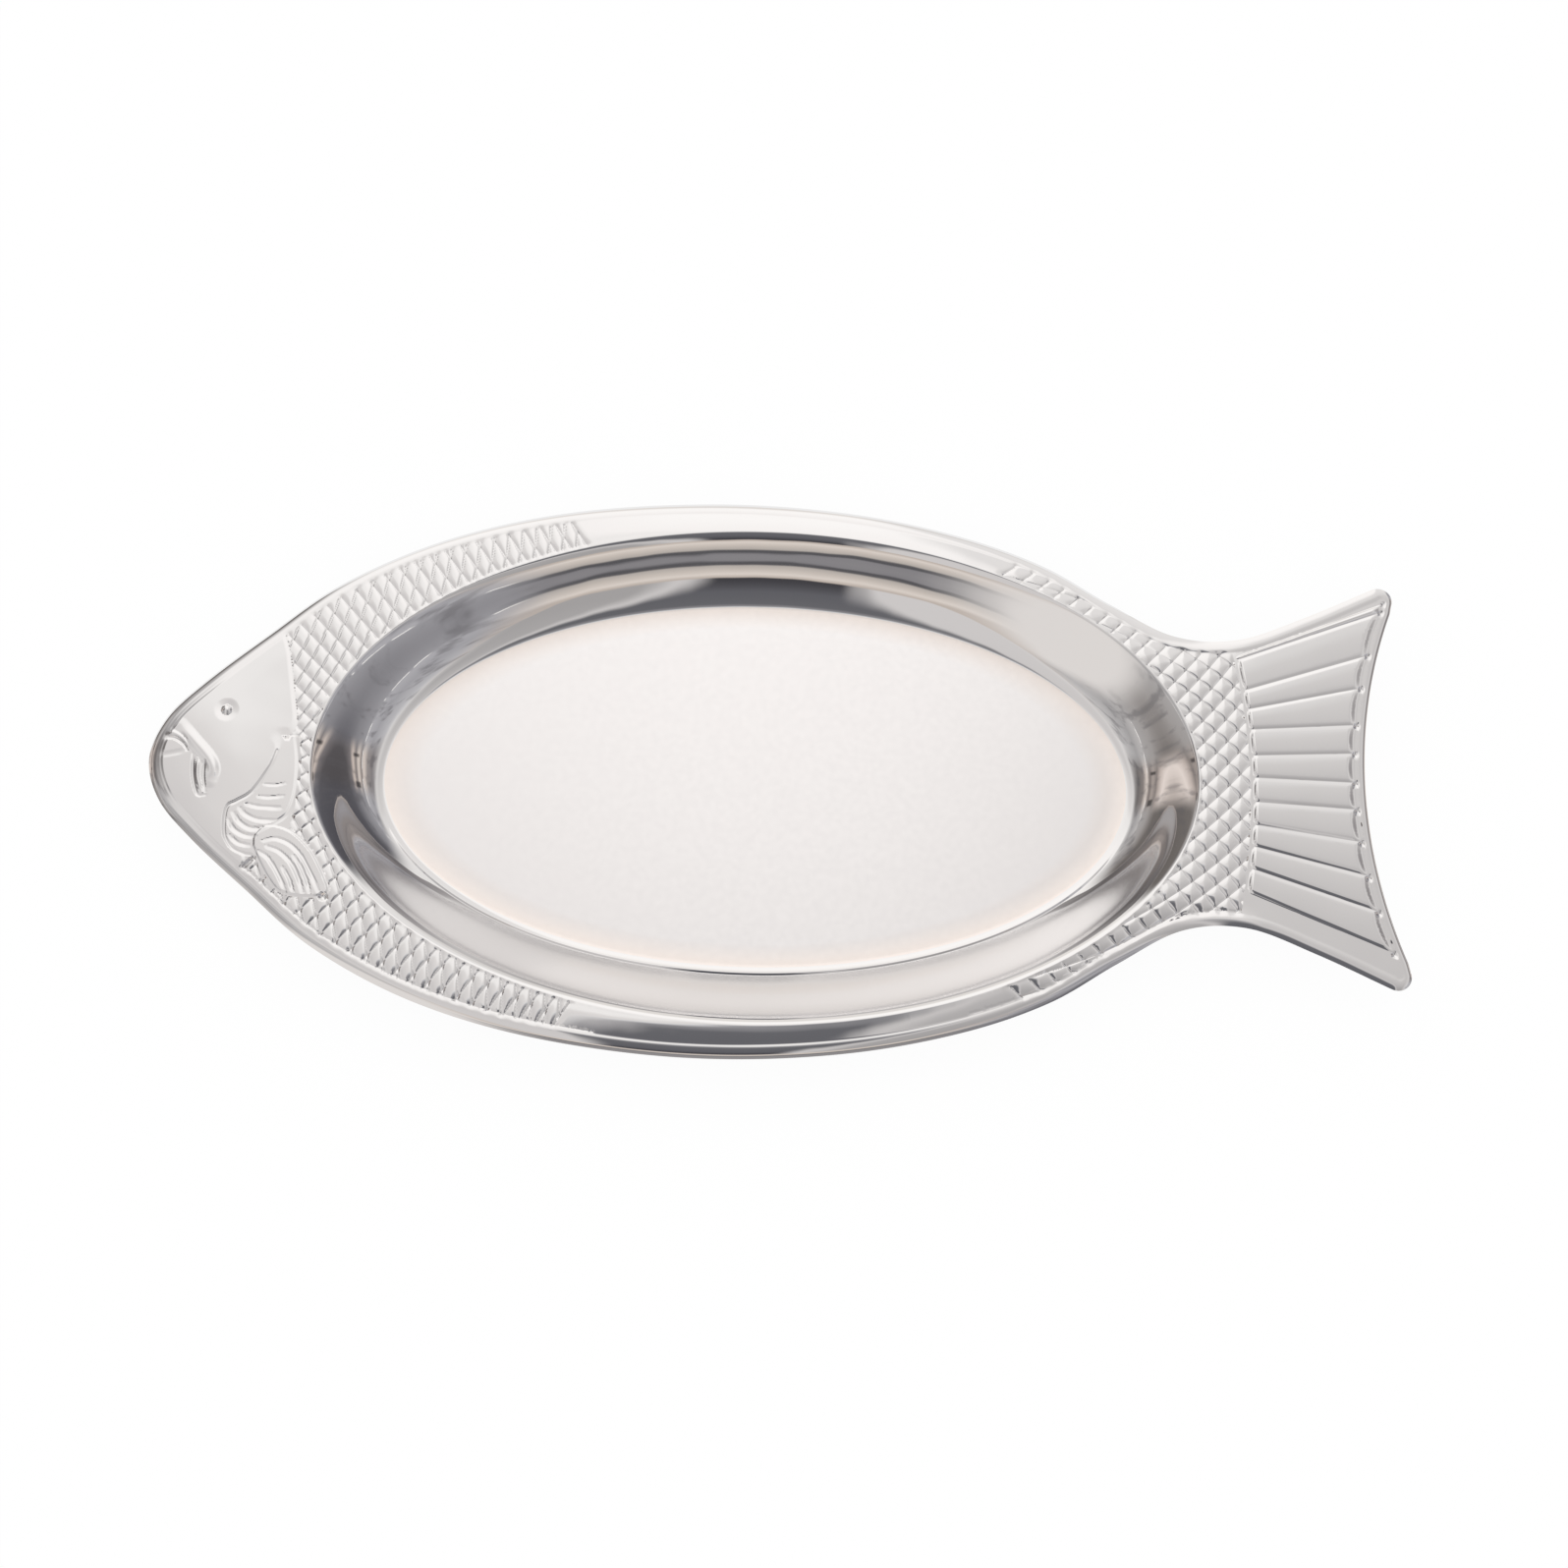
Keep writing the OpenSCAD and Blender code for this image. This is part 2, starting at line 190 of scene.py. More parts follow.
# Distance from the free edge, and the border's width there
def edgeDistance(x, y):
    near = np.array([edgeTree.find((a, b, 0))[1] for a, b in zip(x, y)])
    gap = (np.stack([x, y], 1) - outline[near]) * inward[near]
    return gap.sum(1), sheet["borderWidth"] * borderShare[near]


# Distance outside the well's lip
def lipDistance(x, y):
    a, b = sheet["wellA"], sheet["wellB"]
    u = x - sheet["wellX"]
    reach = np.hypot(u / a, y / b)
    return (reach - 1) * reach / np.hypot(u / a**2, y / b**2)


def ease(v, low, high):
    t = np.clip((v - low) / (high - low), 0, 1)
    return t * t * (3 - 2 * t)


# Distance to an open line of points, with the side and the share along it
def lineDistance(x, y, line):
    best = np.full(x.shape, 1e9)
    side = np.zeros(x.shape)
    share = np.zeros(x.shape)
    count = len(line) - 1
    for k in range(count):
        a, b = line[k], line[k + 1]
        d = b - a
        t = np.clip(((x - a[0]) * d[0] + (y - a[1]) * d[1]) / (d @ d), 0, 1)
        gap = np.hypot(x - a[0] - t * d[0], y - a[1] - t * d[1])
        near = gap < best
        best = np.where(near, gap, best)
        side = np.where(near, np.sign(d[0] * (y - a[1]) - d[1] * (x - a[0])), side)
        share = np.where(near, (k + t) / count, share)
    return best, side, share


# Scale fields: grooves per millimetre along x and y, how that changes in thousandths, and the first groove's
# place; cut is the sharp line in a groove, dot the pit where two cross, bright the way that the light comes
scaleFields = dict(
    tail=dict(
        centre=(160, 0), depth=0.2, reach=2.7, cut=0.15, dot=0.12, bright=(-0.35, 0.94),
        first=dict(pitch=(0.1225, -0.1201), bend=(0.34, 0.358, 0.12), start=0.619),
        second=dict(pitch=(0.1185, 0.1201), bend=(0.34, -0.358, 0.12), start=0.21),
        ends=(-19, -18),
    ),
    back=dict(
        centre=(-130, 70), depth=0.2, reach=2.4, cut=0.09, dot=0.0, bright=(0.35, 0.94),
        first=dict(pitch=(0.1354, 0.1112), bend=(0.147, 0.076, -0.3), start=0.353),
        second=dict(pitch=(0.1915, -0.035), bend=(0.094, -0.118, 0.917), start=0.44),
        ends=(10, None),
    ),
    belly=dict(
        centre=(-130, -70), depth=0.16, reach=2.4, cut=0.1, dot=0.22, bright=(0.35, 0.94),
        first=dict(pitch=(0.1354, -0.1112), bend=(0.147, -0.076, -0.3), start=0.763),
        second=dict(pitch=(0.1915, 0.035), bend=(0.094, 0.118, 0.917), start=0.87),
        ends=(10, None),
    ),
)
cutReach = (1.0, 0.35)  # the wall of a groove that faces the light is wide, the other one steep
dotReach = 1.1
seam = dict(depth=0.09, centre=0.8, half=0.75)
scaleSteps = (0, 0.055, 0.13, 0.24, 0.37, 0.5, 0.63, 0.76, 0.87, 0.945)  # mesh points from groove to groove
scaleLimits = dict(
    tailFrom=70, rootGap=2.4, headReach=80, headTo=-60, middle=9, lineGap=1.0,
    gillX=-170.6, gillY=-26, lobeX=-183.5, lobeY=-37.5,
)

# The tail's rays, from their roots to the hollow end
tailRays = dict(
    fromX=160, rootX=173.0, rootBow=5.0, rootHalf=50.0, rootEase=(-0.4, 0.9), endGap=3.4, endEase=(-0.4, 2.6),
    depth=0.3, reach=1.7, dome=0.16, scallop=0.8, dent=0.45, dentRadius=1.5, dentDrop=0.5,
    roots=(-42.1, -33.1, -24.7, -16.5, -7.8, 1.4, 9.9, 19.9, 27.8, 35.2, 47.3, 48.5),
    ends=(-63.0, -48.0, -34.9, -22.1, -9.9, 0.3, 11.5, 22.5, 36.9, 49.8, 67.0, 70.5),
    beside=(0.3, 0.65, 1.0, 1.6, 2.6, 3.8, 5.2, 6.6),
)

# The gill cover's edge, which the cheek plate and its groove share
gillEdge = [
    (-178.9, 3.3), (-180.9, -2.8), (-186.4, -12.3), (-191.7, -16.2), (-194.7, -18.1), (-195.5, -22.6),
    (-194.9, -29.2), (-192.2, -33.6), (-188.6, -35.7),
]

# The head's forms; its lines are (half width, height, points)
headLines = dict(
    fromX=-150, eye=(-198.3, 18.5), eyeRadius=2.0, eyeHeight=0.75, dishRadius=4.6, dishDepth=0.3,
    pitPower=1.5, swell=0.5, swellAt=(-203, 6), swellHalf=(17, 24),
    # the plate's edge is soft where it passes the gill's upper end
    plateHeight=0.13, plateEase=0.9, softEase=2.6, softY=10, softHalf=3.5,
    finHeight=0.22, finEase=(-0.4, 0.5), finTip=(-158.2, -51.2), tipDepth=0.7, tipRadius=1.9,
    # a line is lower at its two ends
    endShare=0.35, middleShare=0.65, endReach=0.25, lineMargin=8, curveSteps=8, edgeStep=0.7, lineStep=0.6,
    # a rib is steep above its line, wide below it and a little deeper than its height says
    ribAbove=0.55, ribBelow=1.6, ribHeight=1.2,
    plate=[
        (-183.0, 53.0), (-180.5, 48.5), (-178.2, 42.0), (-176.6, 34.0), (-175.0, 25.0), (-173.4, 15.0),
        (-174.4, 10.6), (-178.4, 9.6), *gillEdge, (-187.5, -38.5), (-190.5, -42.5),
    ],
    ridges=[
        (3.0, 0.4, [(-214.4, 12.3), (-209.1, 6.4), (-203.3, 0.0), (-201.2, -4.5), (-201.6, -9.0)]),
        (1.2, 0.25, [(-221.5, 9.0), (-217.5, 9.4), (-213.5, 7.4), (-210.9, 4.2)]),
        (0.9, 0.2, [(-206.9, -0.5), (-206.6, -7.1), (-204.6, -13.2)]),
    ],
    grooves=[
        (0.9, -0.35, [(-225.0, 6.9), (-220.6, 7.4), (-216.3, 7.2), (-212.6, 4.9), (-211.2, 2.6)]),
        (1.5, -0.08, [(-225.0, 0.4), (-219.5, 0.8), (-214.8, 1.7), (-211.3, 2.8)]),
        (0.9, -0.2, [(-208.8, 1.2), (-208.2, -7.2), (-206.0, -14.0), (-203.2, -14.2)]),
        (0.8, -0.15, [(-204.6, -1.2), (-204.4, -7.1), (-203.2, -13.0)]),
        (1.2, -0.1, [
            (-172.8, 10.3), (-171.0, -0.3), (-171.0, -12.3), (-173.2, -20.3), (-177.6, -24.2),
            (-183.0, -27.4),
        ]),
        (1.1, -0.6, [(-183.9, -37.4), (-186.0, -39.5), (-188.0, -41.6)]),
        (0.9, -0.2, [*gillEdge, (-185.0, -36.4)]),
    ],
    # gill and fin ribs, from left to right
    ribs=[
        (0.7, -0.1, [(-182.2, -9.4), (-178.6, -9.6), (-175.0, -8.8)]),
        (0.8, -0.14, [(-183.8, -14.1), (-179.9, -14.2), (-175.6, -13.6)]),
        (1.0, -0.19, [(-187.7, -17.0), (-184.5, -17.7), (-180.3, -18.0), (-176.0, -18.1)]),
        (1.1, -0.21, [(-189.9, -18.7), (-187.8, -20.9), (-183.4, -22.7), (-177.1, -22.9)]),
        (1.1, -0.21, [(-192.1, -20.6), (-189.6, -23.9), (-185.9, -26.0), (-181.9, -25.7)]),
        (1.1, -0.21, [(-193.6, -23.3), (-191.5, -26.6), (-187.9, -28.6), (-184.4, -29.0)]),
        (1.0, -0.19, [(-192.8, -29.0), (-189.8, -31.6), (-185.9, -32.5)]),
        (1.0, -0.19, [
            (-180.6, -30.4), (-176.5, -29.7), (-171.4, -31.6), (-166.9, -35.9), (-162.9, -42.4),
            (-159.6, -48.9),
        ]),
        (1.0, -0.19, [(-179.0, -32.9), (-174.7, -34.6), (-170.1, -38.9), (-166.9, -44.7), (-165.1, -49.8)]),
        (1.0, -0.19, [(-182.0, -34.8), (-178.7, -36.9), (-175.5, -41.3), (-172.7, -46.3), (-171.4, -49.2)]),
        (0.9, -0.17, [(-172.8, -40.8), (-170.3, -44.8), (-168.5, -49.8)]),
        (0.9, -0.17, [(-169.3, -36.3), (-166.5, -40.3), (-164.0, -45.4), (-162.6, -49.7)]),
    ],
    fin=[
        (-184.3, -32.7), (-184.1, -29.0), (-180.7, -25.6), (-175.4, -25.9), (-169.9, -28.6), (-163.8, -34.7),
        (-159.4, -42.3), (-156.8, -48.8), (-159.8, -50.7), (-167.1, -50.9), (-173.5, -49.2), (-177.7, -44.6),
        (-181.7, -38.1), (-184.3, -32.7),
    ],
)


def headCurve(points, step):
    return evenSteps(smoothCurve(points, headLines["curveSteps"]), step)


# The head's curves; its lines become (half width above, half width below, height, curve)
headCurves = dict(
    plate=headCurve(headLines["plate"], headLines["edgeStep"]),
    fin=headCurve(headLines["fin"], headLines["edgeStep"]),
    lines=[],
)
for width, height, points in headLines["ridges"] + headLines["grooves"]:
    headCurves["lines"].append((width, width, height, headCurve(points, headLines["lineStep"])))
for width, height, points in headLines["ribs"]:
    above, below = headLines["ribAbove"] * width, headLines["ribBelow"] * width
    curve = headCurve(points, headLines["lineStep"])
    headCurves["lines"].append((above, below, headLines["ribHeight"] * height, curve))


def groovePhase(field, family, x, y):
    f = field[family]
    u, v = x - field["centre"][0], y - field["centre"][1]
    (p, q), (a, b, c) = f["pitch"], [k / 1000 for k in f["bend"]]
    phase = p * u + q * v + a * u * u + b * u * v + c * v * v - f["start"]
    return phase, p + 2 * a * u + b * v, q + b * u + 2 * c * v


# Where the tail's rays start
def rootLine(y):
    return tailRays["rootX"] - tailRays["rootBow"] * (y / tailRays["rootHalf"]) ** 2


# Which points lie in a scale field
def inField(name, x, y):
    limit = scaleLimits
    if name == "tail":
        return (x > limit["tailFrom"]) & (x < rootLine(y) - limit["rootGap"])
    gap, side = lineDistance(x, y, headCurves["plate"])[:2]
    behind = ~((side < 0) & (gap < limit["headReach"])) & (gap > limit["lineGap"]) & (x < limit["headTo"])
    if name == "back":
        return behind & (y > limit["middle"])
    finGap, finSide = lineDistance(x, y, headCurves["fin"])[:2]
    belowLobe = (x > limit["lobeX"]) | (y < limit["lobeY"])
    beyondGill = (x > limit["gillX"]) | ((y < limit["gillY"]) & belowLobe)
    return behind & (y < limit["middle"]) & beyondGill & (finSide >= 0) & (finGap > limit["lineGap"])


# Depth of the grooves between scales, 0 on a scale's crown
def scaleGrooves(name, x, y):
    field = scaleFields[name]
    inside = inField(name, x, y)
    cut = np.zeros(x.shape)
    dot = np.ones(x.shape)
    rise = []
    ends = field["ends"]
    for family in ("first", "second"):
        phase, px, py = groovePhase(field, family, x, y)
        line = np.round(phase)
        keep = np.ones(x.shape, bool)
        if name == "tail":
            main = (y >= 0) == (family == "first")
            low = ends[0] if family == "first" else ends[1]
            line = np.where(main, np.maximum(line, low), line)
            other = groovePhase(field, "second" if family == "first" else "first", x, y)[0]
            otherLow = ends[1] if family == "first" else ends[0]
            keep = main | (other > otherLow)
        elif family == "first":
            line = np.minimum(line, ends[0])
        else:
            keep = groovePhase(field, "first", x, y)[0] < ends[0]
        gap = np.abs(phase - line) / np.hypot(px, py)
        t = np.clip(gap / field["reach"], 0, 1)
        rise.append(np.where(keep, 1 - (1 - t) ** 2, 1))
        wide = (phase - line) * (px * field["bright"][0] + py * field["bright"][1]) < 0
        cut += np.where(keep, np.clip(1 - gap / np.where(wide, cutReach[0], cutReach[1]), 0, 1) ** 2, 0)
        dot *= np.where(keep, np.clip(1 - gap / dotReach, 0, 1) ** 2, 0)
    depth = (1 - rise[0] * rise[1]) * field["depth"] + cut * field["cut"] + dot * field["dot"]
    return np.where(inside, depth, 0)


# How deep the tail lies: its panels between the rays rise, so they count below 0, and their ends are dented
def tailGrooves(x, y):
    r = tailRays
    roots, ends = np.array(r["roots"]), np.array(r["ends"])
    rootX = rootLine(roots)
    endX = hollowX(ends) - r["endGap"]
    lines = roots + (x[:, None] - rootX) / (endX - rootX) * (ends - roots)
    span = np.clip((lines <= y[:, None]).sum(1), 1, len(roots) - 1)
    rows = np.arange(len(x))
    low, high = lines[rows, span - 1], lines[rows, span]
    share = np.clip((y - low) / (high - low), 0, 1)
    gap = np.minimum(share, 1 - share) * (high - low)
    bulge = 1 - (2 * share - 1) ** 2
    fromRoot = x - r["rootX"] + r["rootBow"] * (y / r["rootHalf"]) ** 2 + r["scallop"] * bulge
    toEnd = hollowX(y) - r["endGap"] - r["scallop"] * bulge - x
    inTail = (y > lines[:, 0]) & (y < lines[:, -1]) & (x > r["fromX"])
    panel = ease(fromRoot, *r["rootEase"]) * ease(toEnd, *r["endEase"])
    t = np.clip(gap / r["reach"], 0, 1)
    groove = (1 - (1 - t) ** 2) * r["depth"]
    dome = bulge * r["dome"]
    toTip = np.hypot(x[:, None] - endX, y[:, None] - ends + r["dentDrop"]).min(1)
    dent = r["dent"] * np.clip(1 - (toTip / r["dentRadius"]) ** 2, 0, 1) ** 2
    return np.where(inTail, -(groove + dome) * panel, 0) + dent


# Round hump or pit: 1 in its middle, 0 from its radius on
def roundShare(x, y, middle, radius):
    return np.clip(1 - (np.hypot(x - middle[0], y - middle[1]) / radius) ** 2, 0, 1)


def headRelief(x, y):
    head = headLines
    out = np.zeros(x.shape)
    near = np.flatnonzero(x < head["fromX"])
    if len(near) == 0:
        return out
    px, py = x[near], y[near]
    h = np.zeros(px.shape)
    gap, side = lineDistance(px, py, headCurves["plate"])[:2]
    level = np.where(side < 0, 1, -1) * gap
    soft = head["plateEase"] + head["softEase"] * np.exp(-(((py - head["softY"]) / head["softHalf"]) ** 2))
    h += head["plateHeight"] * ease(level, -soft, soft)
    finGap, finSide = lineDistance(px, py, headCurves["fin"])[:2]
    h += head["finHeight"] * ease(np.where(finSide < 0, finGap, -finGap), *head["finEase"])
    raised, sunk = np.zeros(px.shape), np.zeros(px.shape)
    for above, below, height, line in headCurves["lines"]:
        reach = np.ptp(line, axis=0) / 2 + head["lineMargin"]
        middle = line[:, 0].mean(), line[:, 1].mean()
        close = np.flatnonzero((np.abs(px - middle[0]) < reach[0]) & (np.abs(py - middle[1]) < reach[1]))
        g, s, t = lineDistance(px[close], py[close], line)
        ends = ease(np.minimum(t, 1 - t), 0, head["endReach"])
        taper = head["endShare"] + head["middleShare"] * ends
        bump = np.clip(1 - (g / np.where(s > 0, above, below)) ** 2, 0, 1) ** 2 * height * taper
        raised[close] = np.maximum(raised[close], bump)
        sunk[close] = np.minimum(sunk[close], bump)
    h += raised + sunk
    (swellX, swellY), (halfX, halfY) = head["swellAt"], head["swellHalf"]
    h += head["swell"] * np.exp(-(((px - swellX) / halfX) ** 2) - ((py - swellY) / halfY) ** 2)
    h -= head["dishDepth"] * roundShare(px, py, head["eye"], head["dishRadius"]) ** head["pitPower"]
    h += head["eyeHeight"] * roundShare(px, py, head["eye"], head["eyeRadius"])
    h -= head["tipDepth"] * roundShare(px, py, head["finTip"], head["tipRadius"]) ** head["pitPower"]
    out[near] = h
    return out


def relief(x, y):
    depth = sum(scaleGrooves(name, x, y) for name in scaleFields)
    return headRelief(x, y) - depth - tailGrooves(x, y)


# The rim falls less towards its border at the head and in the tail
def fallShare(x):
    atHead = sheet["headFallShare"] * ease(-x, *sheet["headFall"])
    return 1 - ease(x, *sheet["tailFall"]) - atHead


# Seam where the lower scales meet the border
def seamDepth(x, y, gap):
    out = np.zeros(x.shape)
    near = np.flatnonzero((y < 0) & (np.abs(gap - seam["centre"]) < seam["half"]))
    if len(near) == 0:
        return out
    px, py = x[near], y[near]
    scaled = inField("belly", px, py) | inField("tail", px, py)
    across = 1 - ((gap[near] - seam["centre"]) / seam["half"]) ** 2
    out[near] = np.where(scaled, seam["depth"] * across**2, 0)
    return out


# Height of the sheet's top face outside the lip
def rimHeight(x, y):
    v = lipDistance(x, y)
    e, width = edgeDistance(x, y)
    s = sheet
    inside = s["crown"] * (1 - np.exp(-(np.maximum(v, 0) / s["crownReach"]) ** 2))
    outside = s["fall"] * fallShare(x) * np.clip(1 - (e - width) / s["fallReach"], 0, 1) ** s["fallPower"]
    fade = ease(v, *s["lipFade"]) * ease(e - width, *s["borderFade"])
    return s["rimTop"] + inside - outside + relief(x, y) * fade - seamDepth(x, y, e - width)


# Rings of the well from the lip to the floor, as inset and height
def wellRings(knots):
    s = sheet
    share = np.concatenate([np.linspace(*span) for span in s["rings"]] + [s["footLine"], s["lastRings"]])
    fine = np.linspace(0, 1, s["fineSteps"] + 1)
    lean = np.interp(fine, *smoothCurve(knots, s["wallSteps"]).T)
    slope = np.tan(np.radians(lean))
    fall = np.concatenate([[0], np.cumsum((slope[1:] + slope[:-1]) / 2)])
    drop = s["rimTop"] - s["thick"] - s["floorBand"] * math.tan(math.radians(s["floorTilt"]))
    height = s["rimTop"] - np.interp(share, fine, fall) * drop / fall[-1]
    floor = s["wallRun"] + s["floorBand"] + np.array([0, s["floorStep"]])
    return np.append(share * s["wallRun"], floor), np.append(height, [s["thick"], s["thick"]])


# Turns at even steps round the lip
fineTurns = np.linspace(0, 2 * np.pi, sheet["fineTurns"] + 1)
lipLength = lengthAlong(np.stack([sheet["wellA"] * np.cos(fineTurns), sheet["wellB"] * np.sin(fineTurns)], 1))
lipTurns = np.interp(np.linspace(0, lipLength[-1], sheet["lipPoints"] + 1), lipLength, fineTurns)


def deselectAll():
    if bpy.context.object and bpy.context.object.mode != "OBJECT":
        bpy.ops.object.mode_set(mode="OBJECT")
    bpy.ops.object.select_all(action="DESELECT")


# A grid whose points are then put in place, columns by rows
def placedGrid(name, columns, rows, x, y, z):
    deselectAll()
    bpy.ops.mesh.primitive_grid_add(x_subdivisions=columns - 1, y_subdivisions=rows - 1, size=2)
    piece = bpy.context.object
    piece.name = name
    flat = np.zeros(columns * rows * 3)
    piece.data.vertices.foreach_get("co", flat)
    flat = flat.reshape(-1, 3)
    col = np.round((flat[:, 0] + 1) / 2 * (columns - 1)).astype(int)
    row = np.round((flat[:, 1] + 1) / 2 * (rows - 1)).astype(int)
    spots = np.stack([x[col, row], y[col, row], z[col, row]], 1) * mm
    piece.data.vertices.foreach_set("co", spots.ravel())
    piece.data.update()
    return piece


def addWell():
    turns = lipTurns
    inset, height = wellRings(sheet["wall"])
    run = inset / sheet["wallRun"]
    x = np.outer(np.cos(turns), sheet["wellA"] - inset) + sheet["wellX"]
    y = np.outer(np.sin(turns), sheet["wellB"] - inset) + sheet["floorLead"] * np.minimum(run, 1)
    z = np.tile(height, (len(turns), 1))
    z[:, 0] = rimHeight(x[:, 0], y[:, 0])
    dip = z[:, 0] - sheet["rimTop"]
    for k, share in enumerate(sheet["lipDip"], 1):
        z[:, k] += dip * share
    near = ease(-np.sin(turns), *sheet["footSide"])
    for k in np.flatnonzero(np.isin(run, sheet["footLine"][1:3])):
        z[:, k] -= sheet["footDepth"] * near
    return placedGrid("wellWall", len(turns), len(inset), x, y, z)


def addBorder():
    plain, rolled, forked, beaded = (
        smoothCurve(sheet[name], sheet["borderSteps"])
        for name in ("border", "headBorder", "forkEdge", "tailBead")
    )
    shares, heights = plain[:, 0], plain[:, 1]
    ring = np.vstack([outline, outline[:1]])
    normal = np.vstack([inward, inward[:1]])
    ringShare = np.append(borderShare, borderShare[0])
    width = sheet["borderWidth"] * ringShare
    spots = ring[:, None, :] + normal[:, None, :] * (width[:, None] * (1 - shares))[:, :, None]
    x, y = spots[:, :, 0], spots[:, :, 1]
    start = x[:, :1]
    level = sheet["rimTop"] + sheet["crown"] - sheet["fall"] * fallShare(start)
    onFlank = (ringShare[:, None] - sheet["tailBorder"]) / (1 - sheet["tailBorder"])
    tailed = forked[:, 1] + onFlank * (beaded[:, 1] - forked[:, 1])
    z = level + heights + ease(-start, *sheet["headBorderSpan"]) * (rolled[:, 1] - heights)
    z += ease(start, *sheet["tailBorderSpan"]) * (tailed - heights)
    dip = rimHeight(x[:, 0], y[:, 0]) - level[:, 0]
    for k, share in enumerate(np.clip(1 - shares / sheet["borderDip"], 0, 1)):
        z[:, k] += dip * share
    return placedGrid("border", len(ring), len(shares), x, y, z)


# Points that stay clear of each other, the earlier ones first
class PointCloud:
    cellSize = 1.0

    def __init__(self):
        self.points = []
        self.edges = []
        self.cells = {}

    def cell(self, p):
        return int(p[0] // self.cellSize), int(p[1] // self.cellSize)

    def put(self, p):
        self.points.append((float(p[0]), float(p[1])))
        self.cells.setdefault(self.cell(p), []).append(len(self.points) - 1)
        return len(self.points) - 1

    def add(self, p, gap):
        cx, cy = self.cell(p)
        for i in (-1, 0, 1):
            for j in (-1, 0, 1):
                for k in self.cells.get((cx + i, cy + j), ()):
                    q = self.points[k]
                    if (q[0] - p[0]) ** 2 + (q[1] - p[1]) ** 2 < gap * gap:
                        return -1
        return self.put(p)

    def addRing(self, ring):
        start, count = len(self.points), len(ring)
        for p in ring:
            self.put(p)
        self.edges += [(start + i, start + (i + 1) % count) for i in range(count)]

    def addLine(self, line, inside, gap, joined):
        last = -1
        for p, keep in zip(line, inside):
            k = self.add(p, gap) if keep else -1
            if joined and k >= 0 and last >= 0:
                self.edges.append((last, k))
            last = k


# How the rim's points are spread: how clear they stay of the lip and the border, and their gap to each other
spread = dict(
    headX=(-224, -153), headY=(-55, 56), headStep=0.44, headClear=0.4, headGap=0.25, eyeMargin=0.6,
    tipReach=2.4, lineReach=1.5, lineMargin=0.4,
    seed=3, sampleReach=110, sampleCount=4000, rounds=40, longestStep=25, least=1e-4, exact=1e-3,
    fieldX=230, fieldY=110,
    scaleClear=0.32, scaleGap=0.2,
    rayRoot=[(-2.5, 3, 10), (5, 30, 11)], rayEnd=(6, -2.5, 14), rayClear=0.3, rayGap=0.22, raySpare=0.4,
    rowOffsets=(0.45, 1.0, 1.7, 2.6, 3.7), rowClear=0.3, rowGap=0.4,
    evenX=(-224, 224), evenY=(-105, 105), evenStep=1.7, evenClear=0.7, evenGap=0.75, rowShare=0.866,
    joinGap=1e-5, edgeSlack=0.02,
)


def clearOf(x, y, gap):
    e, width = edgeDistance(x, y)
    return (lipDistance(x, y) > gap) & (e - width > gap)


# Points on the crossings of two families of grooves, with the ones that were found
def scaleLattice(name):
    field = scaleFields[name]
    cx, cy = field["centre"]
    half = spread["sampleReach"]
    draws = np.random.default_rng(spread["seed"])
    sample = draws.uniform((-half, -half), (half, half), (spread["sampleCount"], 2)) + (cx, cy)
    sample = sample[inField(name, sample[:, 0], sample[:, 1]) & (lipDistance(sample[:, 0], sample[:, 1]) > 0)]
    steps = []
    for family in ("first", "second"):
        phase = groovePhase(field, family, sample[:, 0], sample[:, 1])[0]
        whole = np.arange(math.floor(phase.min()) - 1, math.ceil(phase.max()) + 2)
        steps.append(np.add.outer(whole, scaleSteps).ravel())
    a, b = np.meshgrid(*steps, indexing="ij")
    x, y = np.full(a.shape, float(cx)), np.full(a.shape, float(cy))
    for _ in range(spread["rounds"]):
        fa, ax, ay = groovePhase(field, "first", x, y)
        fb, bx, by = groovePhase(field, "second", x, y)
        det = ax * by - ay * bx
        det = np.where(np.abs(det) < spread["least"], spread["least"], det)
        da, db = a - fa, b - fb
        mx, my = (da * by - db * ay) / det, (db * ax - da * bx) / det
        length = np.maximum(np.hypot(mx, my) / spread["longestStep"], 1)
        x, y = x + mx / length, y + my / length
    missA = np.abs(groovePhase(field, "first", x, y)[0] - a)
    missB = np.abs(groovePhase(field, "second", x, y)[0] - b)
    good = (missA < spread["exact"]) & (missB < spread["exact"])
    return x, y, good & (np.abs(x) < spread["fieldX"]) & (np.abs(y) < spread["fieldY"])


# Staggered rows of points over a rectangle
def evenGrid(acrossX, acrossY, step):
    gx, gy = np.meshgrid(np.arange(*acrossX, step), np.arange(*acrossY, step * spread["rowShare"]))
    gx = gx + (np.arange(gx.shape[0]) % 2 * step / 2)[:, None]
    return gx.ravel(), gy.ravel()


